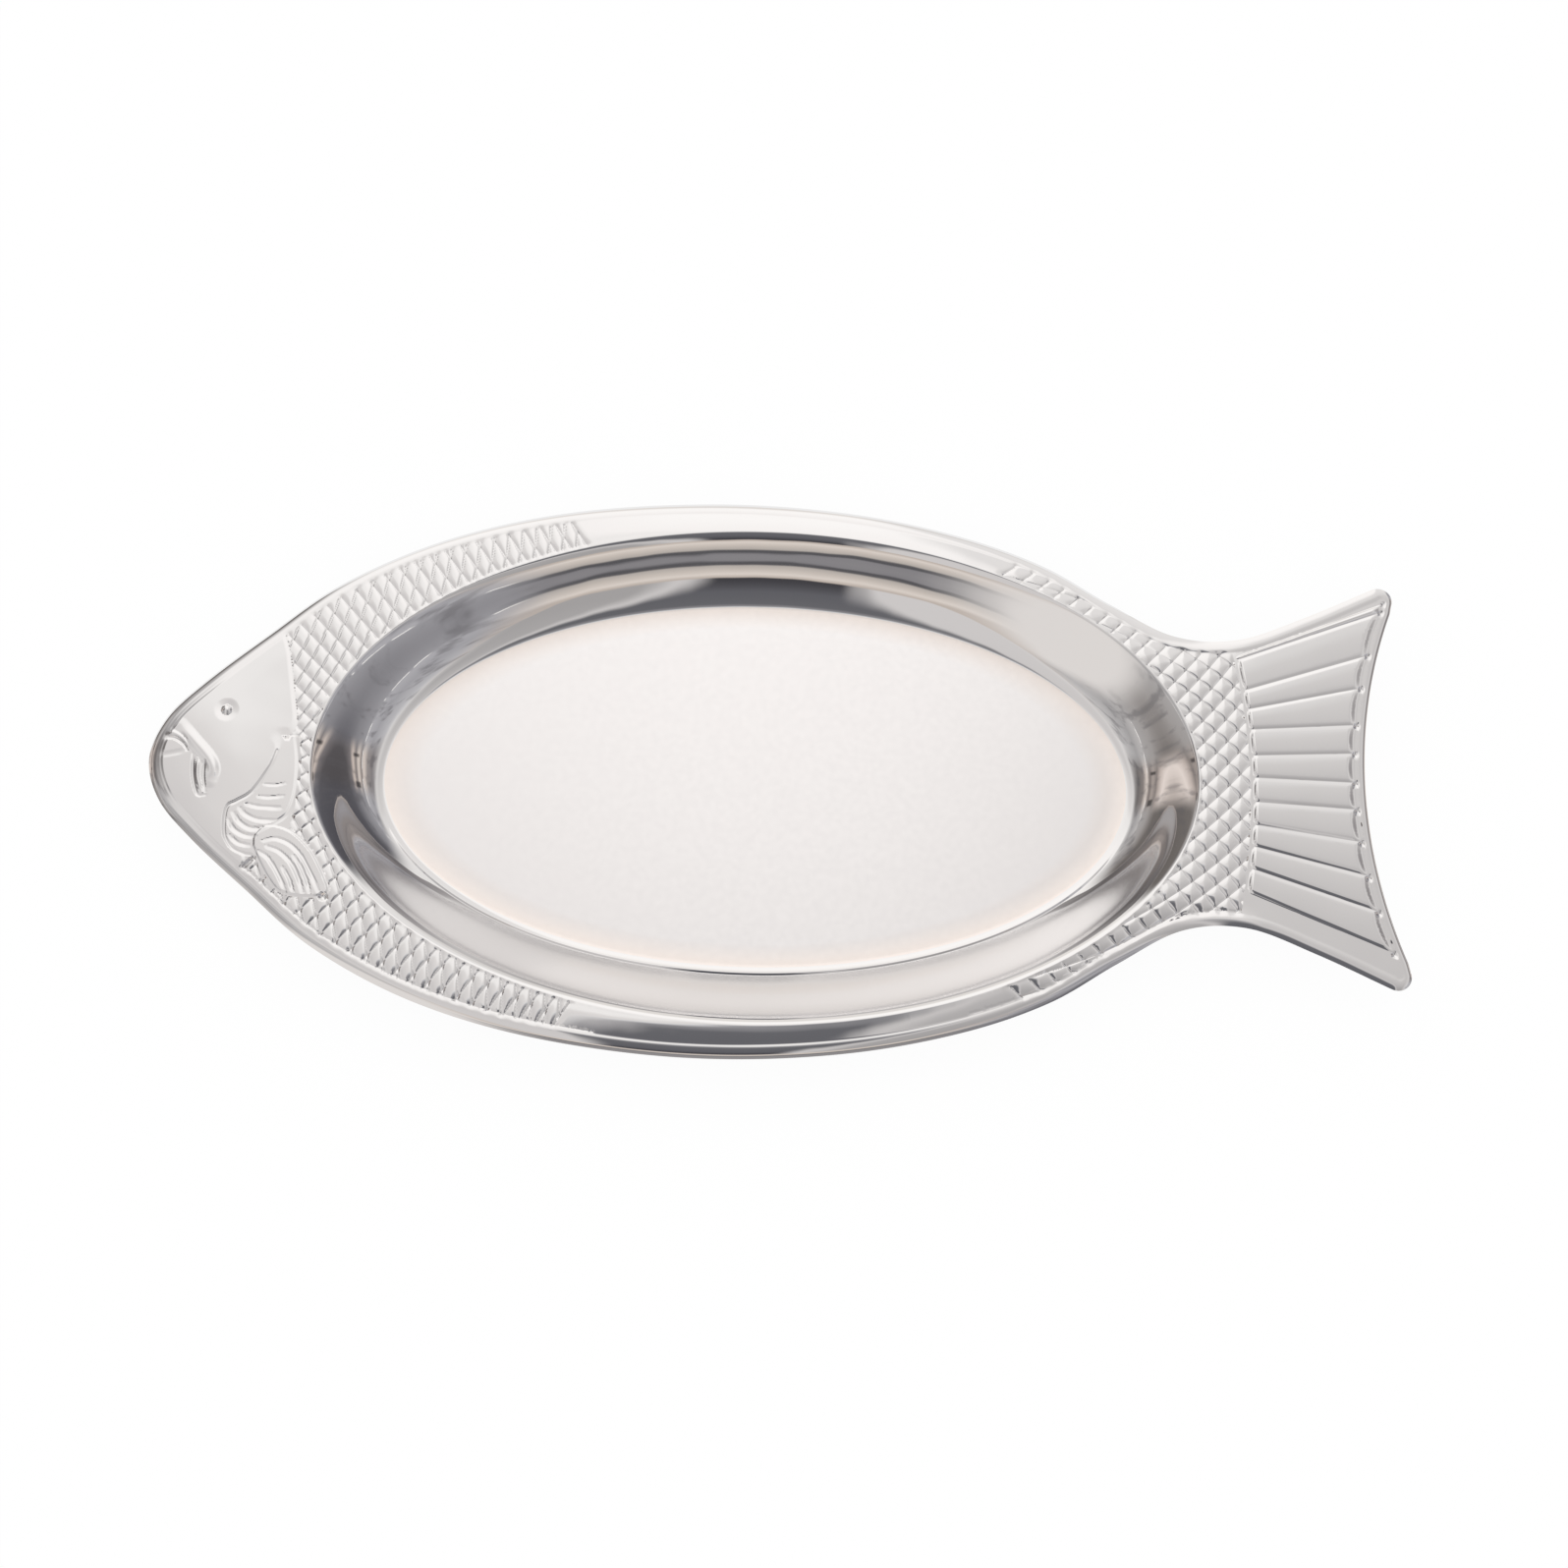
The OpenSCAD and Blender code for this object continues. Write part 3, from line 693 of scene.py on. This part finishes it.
# A fine even grid beside every line of the head
def addHeadPoints(cloud):
    gx, gy = evenGrid(spread["headX"], spread["headY"], spread["headStep"])
    eyeX, eyeY = headLines["eye"]
    tipX, tipY = headLines["finTip"]
    near = np.hypot(gx - eyeX, gy - eyeY) < headLines["dishRadius"] + spread["eyeMargin"]
    near |= np.hypot(gx - tipX, gy - tipY) < spread["tipReach"]
    edges = [(spread["lineReach"], headCurves["plate"]), (spread["lineReach"], headCurves["fin"])]
    for above, below, _, line in headCurves["lines"]:
        reach = max(spread["lineReach"], above + spread["lineMargin"], below + spread["lineMargin"])
        edges.append((reach, line))
    for reach, line in edges:
        low, high = line.min(0) - reach, line.max(0) + reach
        close = np.flatnonzero((gx > low[0]) & (gx < high[0]) & (gy > low[1]) & (gy < high[1]) & ~near)
        near[close] = lineDistance(gx[close], gy[close], line)[0] < reach
    gx, gy = gx[near], gy[near]
    keep = clearOf(gx, gy, spread["headClear"])
    for p in zip(gx[keep], gy[keep]):
        cloud.add(p, spread["headGap"])


# Scales on their own lattice, joined along the grooves
def addScalePoints(cloud, name):
    x, y, good = scaleLattice(name)
    size = len(scaleSteps)
    flat = np.flatnonzero(good.ravel())
    flat = flat[inField(name, x.ravel()[flat], y.ravel()[flat])]
    flat = flat[clearOf(x.ravel()[flat], y.ravel()[flat], spread["scaleClear"])]
    px, py = x.ravel()[flat], y.ravel()[flat]
    index = np.full(x.size, -1)
    order = np.argsort((flat // x.shape[1] % size != 0).astype(int) + (flat % x.shape[1] % size != 0))
    for k in order:
        index[flat[k]] = cloud.add((px[k], py[k]), spread["scaleGap"])
    index = index.reshape(x.shape)
    for lattice in (index, index.T):
        for groove in lattice[::size]:
            cloud.edges += [(a, b) for a, b in zip(groove[:-1], groove[1:]) if a >= 0 and b >= 0]
    print("stage: scales", name, "cloud", len(cloud.points))


def addRayPoints(cloud):
    r = tailRays
    roots, ends = np.array(r["roots"]), np.array(r["ends"])
    starts = np.concatenate([np.linspace(*span) for span in spread["rayRoot"]])
    for offset in (0,) + r["beside"]:
        for k in range(len(roots)):
            for side in (-1, 1) if offset else (1,):
                half = (abs(roots[k] - roots[(k + side) % len(roots)]) - spread["raySpare"]) / 2
                root = roots[k] + side * min(offset, half)
                end = ends[k] + side * offset
                rootX = rootLine(root)
                length = hollowX(end) - r["endGap"] - rootX
                at = np.concatenate([starts, length - np.linspace(*spread["rayEnd"])]) / length
                line = np.stack([rootX + at * length, root + at * (end - root)], 1)
                inside = clearOf(line[:, 0], line[:, 1], spread["rayClear"])
                cloud.addLine(line, inside, spread["rayGap"], True)


# Rows along the lip and the border
def addRowPoints(cloud, lipRing, creaseRing):
    turn = np.roll(lipRing, -1, 0) - np.roll(lipRing, 1, 0)
    turn /= np.linalg.norm(turn, axis=1)[:, None]
    outward = np.stack([turn[:, 1], -turn[:, 0]], 1)
    for offset in spread["rowOffsets"]:
        for ring, normal in ((creaseRing, inward), (lipRing, outward)):
            row = ring + normal * offset
            cloud.addLine(row, clearOf(row[:, 0], row[:, 1], spread["rowClear"]), spread["rowGap"], False)


def addRim(lipRing, creaseRing):
    cloud = PointCloud()
    cloud.addRing(lipRing)
    cloud.addRing(creaseRing)
    addHeadPoints(cloud)
    for name in scaleFields:
        addScalePoints(cloud, name)
    addRayPoints(cloud)
    addRowPoints(cloud, lipRing, creaseRing)
    gx, gy = evenGrid(spread["evenX"], spread["evenY"], spread["evenStep"])  # over what is left
    keep = clearOf(gx, gy, spread["evenClear"])
    for p in zip(gx[keep], gy[keep]):
        cloud.add(p, spread["evenGap"])
    print("stage: rim points", len(cloud.points), "edges", len(cloud.edges))

    spots = [Vector(p) for p in cloud.points]
    out = delaunay_2d_cdt(spots, cloud.edges, [], 0, spread["joinGap"])
    xy = np.array([(v.x, v.y) for v in out[0]])
    faces = np.array(out[2])
    lipCount = len(lipRing)
    source = np.array([o[0] if o else -1 for o in out[3]])
    isLip = (source >= 0) & (source < lipCount)
    isCrease = (source >= lipCount) & (source < lipCount + len(creaseRing))
    middle = xy[faces].mean(1)
    drop = isLip[faces].all(1) & (lipDistance(middle[:, 0], middle[:, 1]) < 0)
    onEdge = np.flatnonzero(isCrease[faces].all(1))
    e, width = edgeDistance(middle[onEdge, 0], middle[onEdge, 1])
    drop[onEdge[e < width - spread["edgeSlack"]]] = True
    faces = faces[~drop]
    z = rimHeight(xy[:, 0], xy[:, 1])
    mesh = bpy.data.meshes.new("rimTop")
    mesh.from_pydata((np.column_stack([xy, z]) * mm).tolist(), [], faces.tolist())
    mesh.update()
    piece = bpy.data.objects.new("rimTop", mesh)
    bpy.context.scene.collection.objects.link(piece)
    print("stage: rim of", len(faces), "triangles")
    return piece


# How far a place lies from the floor's middle, 1 on the oval with that inset
def floorReach(x, y, inset):
    across = (x - sheet["wellX"]) / (sheet["wellA"] - inset)
    return np.hypot(across, (y - sheet["floorLead"]) / (sheet["wellB"] - inset))


def meshPoints(piece):
    co = np.zeros(len(piece.data.vertices) * 3)
    piece.data.vertices.foreach_get("co", co)
    return co.reshape(-1, 3)


# How the sheet is put together: gap to weld in metres, slack to find the floor's ring, angle that stays
# smooth, and the share of triangles that is left when the underside gets lighter
joining = dict(weld=2e-6, ringSlack=1e-3, smoothAngle=58, underShare=0.58)


def buildPlatter():
    well = addWell()
    border = addBorder()
    turns = lipTurns[:-1]
    lipRing = np.stack([sheet["wellA"] * np.cos(turns) + sheet["wellX"], sheet["wellB"] * np.sin(turns)], 1)
    creaseRing = outline + inward * (sheet["borderWidth"] * borderShare)[:, None]
    rim = addRim(lipRing, creaseRing)
    deselectAll()
    for piece in (well, border, rim):
        piece.select_set(True)
    bpy.context.view_layer.objects.active = rim
    bpy.ops.object.join()
    platter = bpy.context.object
    platter.name = "platterSheet"
    bpy.ops.object.mode_set(mode="EDIT")
    bpy.ops.mesh.select_all(action="SELECT")
    bpy.ops.mesh.remove_doubles(threshold=joining["weld"])
    bpy.ops.mesh.select_all(action="DESELECT")
    bpy.ops.object.mode_set(mode="OBJECT")
    co = meshPoints(platter)
    floorInset = sheet["wallRun"] + sheet["floorBand"] + sheet["floorStep"]
    reach = floorReach(co[:, 0] * perMetre, co[:, 1] * perMetre, floorInset)
    platter.data.vertices.foreach_set("select", np.abs(reach - 1) < joining["ringSlack"])
    bpy.ops.object.mode_set(mode="EDIT")
    bpy.ops.mesh.edge_face_add()
    bpy.ops.mesh.select_all(action="SELECT")
    bpy.ops.mesh.normals_make_consistent(inside=False)
    bpy.ops.object.mode_set(mode="OBJECT")
    if sum(p.normal.z * p.area for p in platter.data.polygons) < 0:
        bpy.ops.object.mode_set(mode="EDIT")
        bpy.ops.mesh.flip_normals()
        bpy.ops.object.mode_set(mode="OBJECT")
    print("stage: top face of", len(platter.data.vertices), "points")
    return platter


# Where the shading comes from the form itself: the step for slopes, and margins at the lip, border and foot
shading = dict(step=0.06, rimMargin=0.1, lipMargin=0.05, footMargin=0.01, outermost=-60.0, halvings=40)


# How far inside the lip a place lies, level with the rings of the well
def wellInset(x, y):
    low = np.full(x.shape, shading["outermost"])
    high = np.full(x.shape, sheet["wallRun"] + sheet["floorBand"])
    for _ in range(shading["halvings"]):
        middle = (low + high) / 2
        lead = sheet["floorLead"] * np.clip(middle / sheet["wallRun"], 0, 1)
        across = (x - sheet["wellX"]) / (sheet["wellA"] - middle)
        inside = np.hypot(across, (y - lead) / (sheet["wellB"] - middle)) < 1
        low, high = np.where(inside, middle, low), np.where(inside, high, middle)
    return middle


# Upward directions of the rim's top face and the wall, kept on their points
def keepDirections(platter):
    co = meshPoints(platter) * perMetre
    onRim = np.flatnonzero(clearOf(co[:, 0], co[:, 1], shading["rimMargin"]))
    x, y = co[onRim, 0], co[onRim, 1]
    step = shading["step"]
    slopeX = (rimHeight(x + step, y) - rimHeight(x - step, y)) / (2 * step)
    slopeY = (rimHeight(x, y + step) - rimHeight(x, y - step)) / (2 * step)
    up = np.stack([-slopeX, -slopeY, np.ones(len(x))], 1)
    up /= np.linalg.norm(up, axis=1)[:, None]
    kept = np.zeros((len(co), 3))
    kept[onRim] = up
    inset = wellInset(co[:, 0], co[:, 1])
    lastInset = sheet["wallRun"] - shading["footMargin"]
    onWall = np.flatnonzero((inset > shading["lipMargin"]) & (inset < lastInset))
    inset = inset[onWall]
    share = inset / sheet["wallRun"]
    outX = (co[onWall, 0] - sheet["wellX"]) / (sheet["wellA"] - inset)
    outY = (co[onWall, 1] - sheet["floorLead"] * share) / (sheet["wellB"] - inset)
    near = ease(-outY, *sheet["nearSide"])
    side = ease(np.abs(outX), *sheet["endSide"])
    far, end, close = (
        np.interp(share, *smoothCurve(sheet[name], sheet["wallSteps"]).T)
        for name in ("farLean", "sideLean", "nearLean")
    )
    lean = far + side * (end - far)
    lean = np.radians(lean + near * (close - lean))
    outX, outY = outX / (sheet["wellA"] - inset), outY / (sheet["wellB"] - inset)
    size = np.hypot(outX, outY)
    kept[onWall] = np.stack([-np.sin(lean) * outX / size, -np.sin(lean) * outY / size, np.cos(lean)], 1)
    platter.data.attributes.new("rimUp", "FLOAT_VECTOR", "POINT").data.foreach_set("vector", kept.ravel())


# Those directions go on the corners of the top faces; a zero leaves a corner as it is
def useDirections(platter):
    mesh = platter.data
    kept = np.zeros(len(mesh.vertices) * 3)
    mesh.attributes["rimUp"].data.foreach_get("vector", kept)
    kept = kept.reshape(-1, 3)
    under = np.array([len(v.groups) > 0 for v in mesh.vertices])
    corner = np.zeros(len(mesh.loops), int)
    mesh.loops.foreach_get("vertex_index", corner)
    starts = np.zeros(len(mesh.polygons), int)
    mesh.polygons.foreach_get("loop_start", starts)
    topFace = ~np.logical_or.reduceat(under[corner], starts)
    sizes = np.diff(np.append(starts, len(corner)))
    normals = np.where(np.repeat(topFace, sizes)[:, None], kept[corner], 0)
    mesh.attributes.remove(mesh.attributes["rimUp"])
    mesh.normals_split_custom_set(normals.tolist())


def triangleCount(mesh):
    return sum(len(p.vertices) - 2 for p in mesh.polygons)


def thicken(platter):
    platter.vertex_groups.new(name="underside")
    solid = platter.modifiers.new("sheetThickness", "SOLIDIFY")
    solid.thickness = sheet["thick"] * mm
    solid.offset = -1
    solid.shell_vertex_group = "underside"
    bpy.context.view_layer.objects.active = platter
    bpy.ops.object.modifier_apply(modifier="sheetThickness")
    count = triangleCount(platter.data)
    thin = platter.modifiers.new("lighterUnderside", "DECIMATE")
    thin.vertex_group = "underside"
    thin.ratio = joining["underShare"]
    bpy.ops.object.modifier_apply(modifier="lighterUnderside")
    deselectAll()
    platter.select_set(True)
    bpy.context.view_layer.objects.active = platter
    bpy.ops.object.shade_smooth_by_angle(angle=math.radians(joining["smoothAngle"]))
    useDirections(platter)
    print("stage: sheet of", count, "triangles, then", triangleCount(platter.data))


platter = buildPlatter()
keepDirections(platter)
thicken(platter)


# sRGB hex to linear
def hexColour(code):
    parts = [int(code[k:k + 2], 16) / 255 for k in (1, 3, 5)]
    return tuple(c / 12.92 if c <= 0.04045 else ((c + 0.055) / 1.055) ** 2.4 for c in parts) + (1,)


# Kinds of node by a short name: type, settings, inputs in the order of their values, and the output passed on
nodeKinds = {
    "spot": ("ShaderNodeTexCoord", {}, (), "Object"),
    "direction": ("ShaderNodeTexCoord", {}, (), "Generated"),
    "parts": ("ShaderNodeSeparateXYZ", {}, (0,), 0),
    "stretch": ("ShaderNodeMapping", {}, ("Vector", "Scale"), 0),
    "noise": ("ShaderNodeTexNoise", {}, ("Vector", "Scale", "Detail"), "Fac"),
    "range": ("ShaderNodeMapRange", {}, (0, 1, 2, 3, 4), 0),
    "span": ("ShaderNodeMapRange", {"interpolation_type": "SMOOTHSTEP"}, (0, 1, 2), 0),
    "blend": ("ShaderNodeMix", {"data_type": "RGBA"}, (0, 6, 7), 2),
    "ramp": ("ShaderNodeValToRGB", {}, ("Fac",), "Color"),
    "bump": ("ShaderNodeBump", {}, ("Strength", "Distance", "Height"), 0),
    "metal": ("ShaderNodeBsdfPrincipled", {}, ("Base Color", "Metallic", "Roughness", "Normal"), 0),
    "matt": ("ShaderNodeBsdfDiffuse", {}, ("Color",), 0),
    "glow": ("ShaderNodeEmission", {}, ("Color", "Strength"), 0),
    "either": ("ShaderNodeMixShader", {}, (0, 1, 2), 0),
    "rays": ("ShaderNodeLightPath", {}, (), "Is Glossy Ray"),
    "surface": ("ShaderNodeOutputMaterial", {}, ("Surface",), None),
    "sky": ("ShaderNodeBackground", {}, ("Color", "Strength"), 0),
    "world": ("ShaderNodeOutputWorld", {}, ("Surface",), None),
}
operations = "add subtract multiply divide power minimum maximum absolute degrees arctan2"
for operation in operations.split():
    nodeKinds[operation] = ("ShaderNodeMath", {"operation": operation.upper()}, (0, 1), 0)


# A node with its settings, and values or links in its inputs
def addNode(tree, kind, *values):
    nodeType, settings, inputs, output = nodeKinds[kind]
    node = tree.nodes.new(nodeType)
    for key, value in settings.items():
        setattr(node, key, value)
    for key, value in zip(inputs, values):
        if isinstance(value, bpy.types.NodeSocket):
            tree.links.new(value, node.inputs[key])
        else:
            node.inputs[key].default_value = value
    return node if output is None else node.outputs[output]


def newMaterial(name):
    material = bpy.data.materials.new(name)
    material.use_nodes = True
    material.node_tree.nodes.clear()
    return material, partial(addNode, material.node_tree)


# Stainless steel, pressed and buffed to a mirror: clear reflections, bent a little by the soft waves that
# pressing leaves, under a faint haze that comes and goes
polished = dict(
    colour="#ebeaea", roughness=0.03,
    hazeMm=30.0, hazeDetail=3.0, hazeSpan=(0.3, 0.7), hazeShares=(0.75, 1.25),
    waveMm=22.0, waveDetail=1.0, waveStrength=0.1, waveHeight=0.001,
)


def polishedSteel():
    material, put = newMaterial("polishedStainlessSteel")
    p = polished
    at = put("spot")
    haze = put("noise", at, perMetre / p["hazeMm"], p["hazeDetail"])
    rough = put("range", haze, *p["hazeSpan"], *[p["roughness"] * share for share in p["hazeShares"]])
    wave = put("noise", at, perMetre / p["waveMm"], p["waveDetail"])
    bump = put("bump", p["waveStrength"], p["waveHeight"], wave)
    put("surface", put("metal", hexColour(p["colour"]), 1.0, rough, bump))
    return material


# The well's floor is the same steel with the satin finish that rolling leaves: reflections blur to one soft
# grey. Towards the wall its colour is painted warmer, a painted reflection of the warm highlight at the
# wall's foot.
# The grain is drawn coarser than it is, to show at all
satin = dict(
    # the second grey is a painted reflection: the warm highlight at the wall's foot, laid into the floor's
    # colour near the wall
    colour="#f6f4f4", edge="#f4ece7", edgeInset=2.0, paintedReflectionSpan=(0.84, 1.04),
    roughness=0.2, grainMm=2.5, grainDetail=4.0, grainSpan=(0.3, 0.7), grainShares=(0.9, 1.1),
    fromRun=0.97, facingUp=0.5,
)


def satinSteel():
    material, put = newMaterial("satinStainlessSteel")
    p = satin
    at = put("spot")
    grain = put("noise", at, perMetre / p["grainMm"], p["grainDetail"])
    rough = put("range", grain, *p["grainSpan"], *[p["roughness"] * share for share in p["grainShares"]])
    x, y, _ = put("parts", at).node.outputs
    inset = sheet["wallRun"] + p["edgeInset"]
    squares = []
    for value, middle, half in ((x, "wellX", "wellA"), (y, "floorLead", "wellB")):
        away = put("subtract", value, sheet[middle] / perMetre)
        share = put("divide", away, (sheet[half] - inset) / perMetre)
        squares.append(put("power", share, 2.0))
    # painted reflection: the floor's colour turns warm towards the wall, as if it mirrored a warm highlight
    # at the wall's foot
    paintedReflectionShare = put("range", put("add", *squares), *p["paintedReflectionSpan"])
    colourWithPaintedReflection = put("blend", paintedReflectionShare, hexColour(p["colour"]), hexColour(p["edge"]))
    put("surface", put("metal", colourWithPaintedReflection, 1.0, rough))
    return material


platter.data.materials.clear()
platter.data.materials.append(polishedSteel())
platter.data.materials.append(satinSteel())
for face in platter.data.polygons:
    c = face.center * perMetre
    inWell = floorReach(c.x, c.y, satin["fromRun"] * sheet["wallRun"]) < 1
    face.material_index = 1 if inWell and face.normal.z > satin["facingUp"] else 0

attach(platter, "root")
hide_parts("platter")
print("stage: platter dressed")

# Plain matt paper under the platter, its size in metres; for the camera and in reflections most of it glows,
# so that it looks as white as the backdrop
studio = dict(floorSize=6.0, floorColour="#ffffff", glowShare=0.92, bounces=20)
white = (1, 1, 1, 1)


def addFloor():
    deselectAll()
    bpy.ops.mesh.primitive_plane_add(size=studio["floorSize"])
    floor = bpy.context.object
    floor.name = "studioFloor"
    material, put = newMaterial("studioPaper")
    rays = put("rays").node.outputs
    seen = put("maximum", rays["Is Camera Ray"], rays["Is Glossy Ray"])
    share = put("multiply", seen, studio["glowShare"])
    paper = put("matt", hexColour(studio["floorColour"]))
    put("surface", put("either", share, paper, put("glow", white, 1.0)))
    floor.data.materials.append(material)


# The studio as the metal sees it: a bright panel behind and above, a dark gap at the camera, a ring of walls
room = dict(
    strength=1.15, leans=(-90.0, 90.0),
    # lean in degrees from straight up, towards the back, and the panel's grey there
    panel=[(-30, "#cfcccb"), (2, "#cdcac9"), (12, "#dfdcda"), (15.5, "#eeecea"), (24.5, "#faf7f5"),
           (45, "#fffdfb"), (60, "#fdfaf7"), (72, "#e2deda")],
    panelBow=60.0, leftBow=42.0, sideSpan=(0.3, 0.6), sideGrey="#e9e7e5",
    tailDim=0.45, tailSpan=(0.08, 0.15),
    tailSide=[(-40, "#4d4c4e"), (-12, "#6a696b"), (6, "#a3a1a1"), (13, "#b9b7b6"), (24, "#c2c0bf")],
    gap=[(-60, "#3c3b3e"), (-50, "#434246"), (-30, "#606065"), (2, "#67676b"), (9, "#8e8d90"),
         (13, "#eeeeee")],
    gapX=0.005, gapLead=0.0009, gapHalf=0.05, gapGrowth=0.0006, gapSoft=0.055, gapTop=(13.0, 11.0),
    # height over the horizon as a sine, and the grey of the walls in front and at the sides
    front=[(0.0, "#a39e9b"), (0.36, "#8a888a"), (0.4, "#858386"), (0.412, "#565558"), (0.435, "#5a595c"),
           (0.45, "#b5aea8"), (0.5, "#c8bfb7"), (0.56, "#dcd3cb"), (0.61, "#bdb2a9")],
    right=[(0.0, "#4f4e53"), (0.16, "#59585d"), (0.22, "#6f6e73"), (0.3, "#88878b"), (0.43, "#99989c"),
           (0.47, "#aeadb1"), (0.6, "#a3a2a6"), (0.8, "#b9b8bb"), (0.93, "#d9d8d8"), (1.0, "#e9e8e7")],
    left=[(0.0, "#6a6562"), (0.16, "#716c69"), (0.22, "#8a8582"), (0.3, "#a19d9b"), (0.43, "#a9a6a5"),
          (0.47, "#bab7b6"), (0.6, "#a5a3a3"), (0.8, "#bcbaba"), (0.93, "#d9d7d6"), (1.0, "#eae8e6")],
    rightPatch=[(0.0, "#4d4a4c"), (0.17, "#575456"), (0.23, "#7b7677"), (0.27, "#cfc2b9"), (0.32, "#7d7776"),
                (0.37, "#dacfc6"), (0.43, "#857e7c"), (0.48, "#d9cec6"), (0.56, "#989290"), (0.7, "#858182"),
                (0.9, "#c9c6c5")],
    leftPatch=[(0.0, "#aea39c"), (0.15, "#e4d9d2"), (0.21, "#c2b6af"), (0.26, "#8a827e"), (0.33, "#a89e98"),
               (0.4, "#7d7572"), (0.47, "#dcd1c9"), (0.56, "#8a8380"), (0.7, "#706c6b"), (0.9, "#c6c3c2")],
    rightSpan=(-0.1, 0.1), patchFrom=(0.02, 0.2), patchTo=(0.55, 0.4),
    wobble=0.08, wobbleScale=2.5, noiseDetail=3.0,
    streakScale=(3.0, 11.0, 5.0), streakSpan=(0.5, 0.68), streakDark="#5f5d60", streakShare=0.5,
    lineAt=0.45, lineHalf=0.008, lineCore=0.3, lineBreak=(0.5, 0.42), lineGrey="#f1efec",
    frontLeft="#dfdbd8", frontLeftY=(-0.35, -0.55), frontLeftX=(-0.15, -0.3),
    frontTop=0.62, sideways=(0.25, 0.5), ringSide=(0.4, 0.55), ringFront=(0.1, -0.1), ringTop=(0.01, -0.01),
    # two dark bars at each end: their spans along y, and where they start and stop
    bars=[(0.17, 0.22), (0.41, 0.48)], barSoft=0.02, barFoot=(0.26, 0.3), barTop=(0.4, 0.36),
    barSide=(0.5, 0.7), barShare=0.8, bar="#302f31",
)


def addWorld():
    world = bpy.data.worlds.new("studio")
    bpy.context.scene.world = world
    world.use_nodes = True
    world.node_tree.nodes.clear()
    put = partial(addNode, world.node_tree)
    r = room

    # greys that follow a value through their stops
    def graded(value, stops, low=0.0, high=1.0):
        greys = put("ramp", put("range", value, low, high))
        elements = greys.node.color_ramp.elements
        while len(elements) < len(stops):
            elements.new(0.5)
        for element, (place, code) in zip(elements, stops):
            element.position = (place - low) / (high - low)
            element.color = hexColour(code)
        return greys

    at = put("direction")
    x, y, z = put("parts", at).node.outputs
    lean = put("degrees", put("arctan2", y, z))
    aside = put("absolute", x)

    # the panel hangs lower towards both ends and is dimmer on the tail's side
    bow = put("maximum", put("multiply", x, r["panelBow"]), put("multiply", x, -r["leftBow"]))
    seen = graded(put("subtract", lean, bow), r["panel"], *r["leans"])
    dim = put("multiply", put("span", x, *r["tailSpan"]), r["tailDim"])
    seen = put("blend", dim, seen, graded(lean, r["tailSide"], *r["leans"]))
    seen = put("blend", put("span", aside, *r["sideSpan"]), seen, hexColour(r["sideGrey"]))

    # the gap widens towards the camera and drifts to the left
    front = put("minimum", lean, 0.0)
    gapX = put("add", put("multiply", front, r["gapLead"]), r["gapX"])
    gapHalf = put("add", put("multiply", front, -r["gapGrowth"]), r["gapHalf"])
    gapAside = put("subtract", put("absolute", put("subtract", x, gapX)), gapHalf)
    gapShare = put("multiply", put("span", gapAside, r["gapSoft"], 0.0), put("span", lean, *r["gapTop"]))
    seen = put("blend", gapShare, seen, graded(lean, r["gap"], *r["leans"]))

    # the walls at the two ends, with patches at the back, dark streaks and a broken bright line
    noise = put("noise", at, r["wobbleScale"], r["noiseDetail"])
    rise = put("add", z, put("multiply", put("subtract", noise, 0.5), r["wobble"]))
    onRight = put("span", x, *r["rightSpan"])
    sides = put("blend", onRight, graded(rise, r["left"]), graded(rise, r["right"]))
    patches = put("blend", onRight, graded(rise, r["leftPatch"]), graded(rise, r["rightPatch"]))
    patchShare = put("multiply", put("span", y, *r["patchFrom"]), put("span", y, *r["patchTo"]))
    sides = put("blend", patchShare, sides, patches)
    streak = put("noise", put("stretch", at, r["streakScale"]), 1.0, r["noiseDetail"])
    streakShare = put("multiply", put("span", streak, *r["streakSpan"]), r["streakShare"])
    sides = put("blend", streakShare, sides, hexColour(r["streakDark"]))
    fromLine = put("absolute", put("subtract", rise, r["lineAt"]))
    line = put("span", fromLine, r["lineHalf"], r["lineCore"] * r["lineHalf"])
    lineShare = put("multiply", line, put("span", streak, *r["lineBreak"]))
    sides = put("blend", lineShare, sides, hexColour(r["lineGrey"]))
    bright = put("multiply", put("span", y, *r["frontLeftY"]), put("span", x, *r["frontLeftX"]))
    sides = put("blend", bright, sides, hexColour(r["frontLeft"]))

    # the ring of walls, lower in front than at the ends
    sideways = put("span", aside, *r["sideways"])
    ring = put("blend", sideways, graded(rise, r["front"]), sides)
    top = put("add", put("multiply", sideways, 1.0 - r["frontTop"]), r["frontTop"])
    ringShare = put("maximum", put("span", aside, *r["ringSide"]), put("span", y, *r["ringFront"]))
    ringShare = put("multiply", ringShare, put("span", put("subtract", rise, top), *r["ringTop"]))
    seen = put("blend", ringShare, seen, ring)
    for low, high in r["bars"]:
        left, right = put("span", y, low, low + r["barSoft"]), put("span", y, high, high - r["barSoft"])
        tall = put("multiply", put("span", rise, *r["barFoot"]), put("span", rise, *r["barTop"]))
        bar = put("multiply", put("multiply", left, right), tall)
        bar = put("multiply", bar, put("span", aside, *r["barSide"]))
        seen = put("blend", put("multiply", bar, r["barShare"]), seen, hexColour(r["bar"]))

    # only reflections see the room; for the camera and for diffuse light the studio is white
    mirrored = put("rays")
    level = put("range", mirrored, 0.0, 1.0, 1.0, r["strength"])
    put("world", put("sky", put("blend", mirrored, white, seen), level))


addCamera(photoView)
addFloor()
addWorld()
bpy.context.scene.view_settings.view_transform = "Standard"

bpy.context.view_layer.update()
bpy.context.scene.cycles.max_bounces = studio["bounces"]  # light turns several times inside the polished well
bpy.context.scene.cycles.glossy_bounces = studio["bounces"]
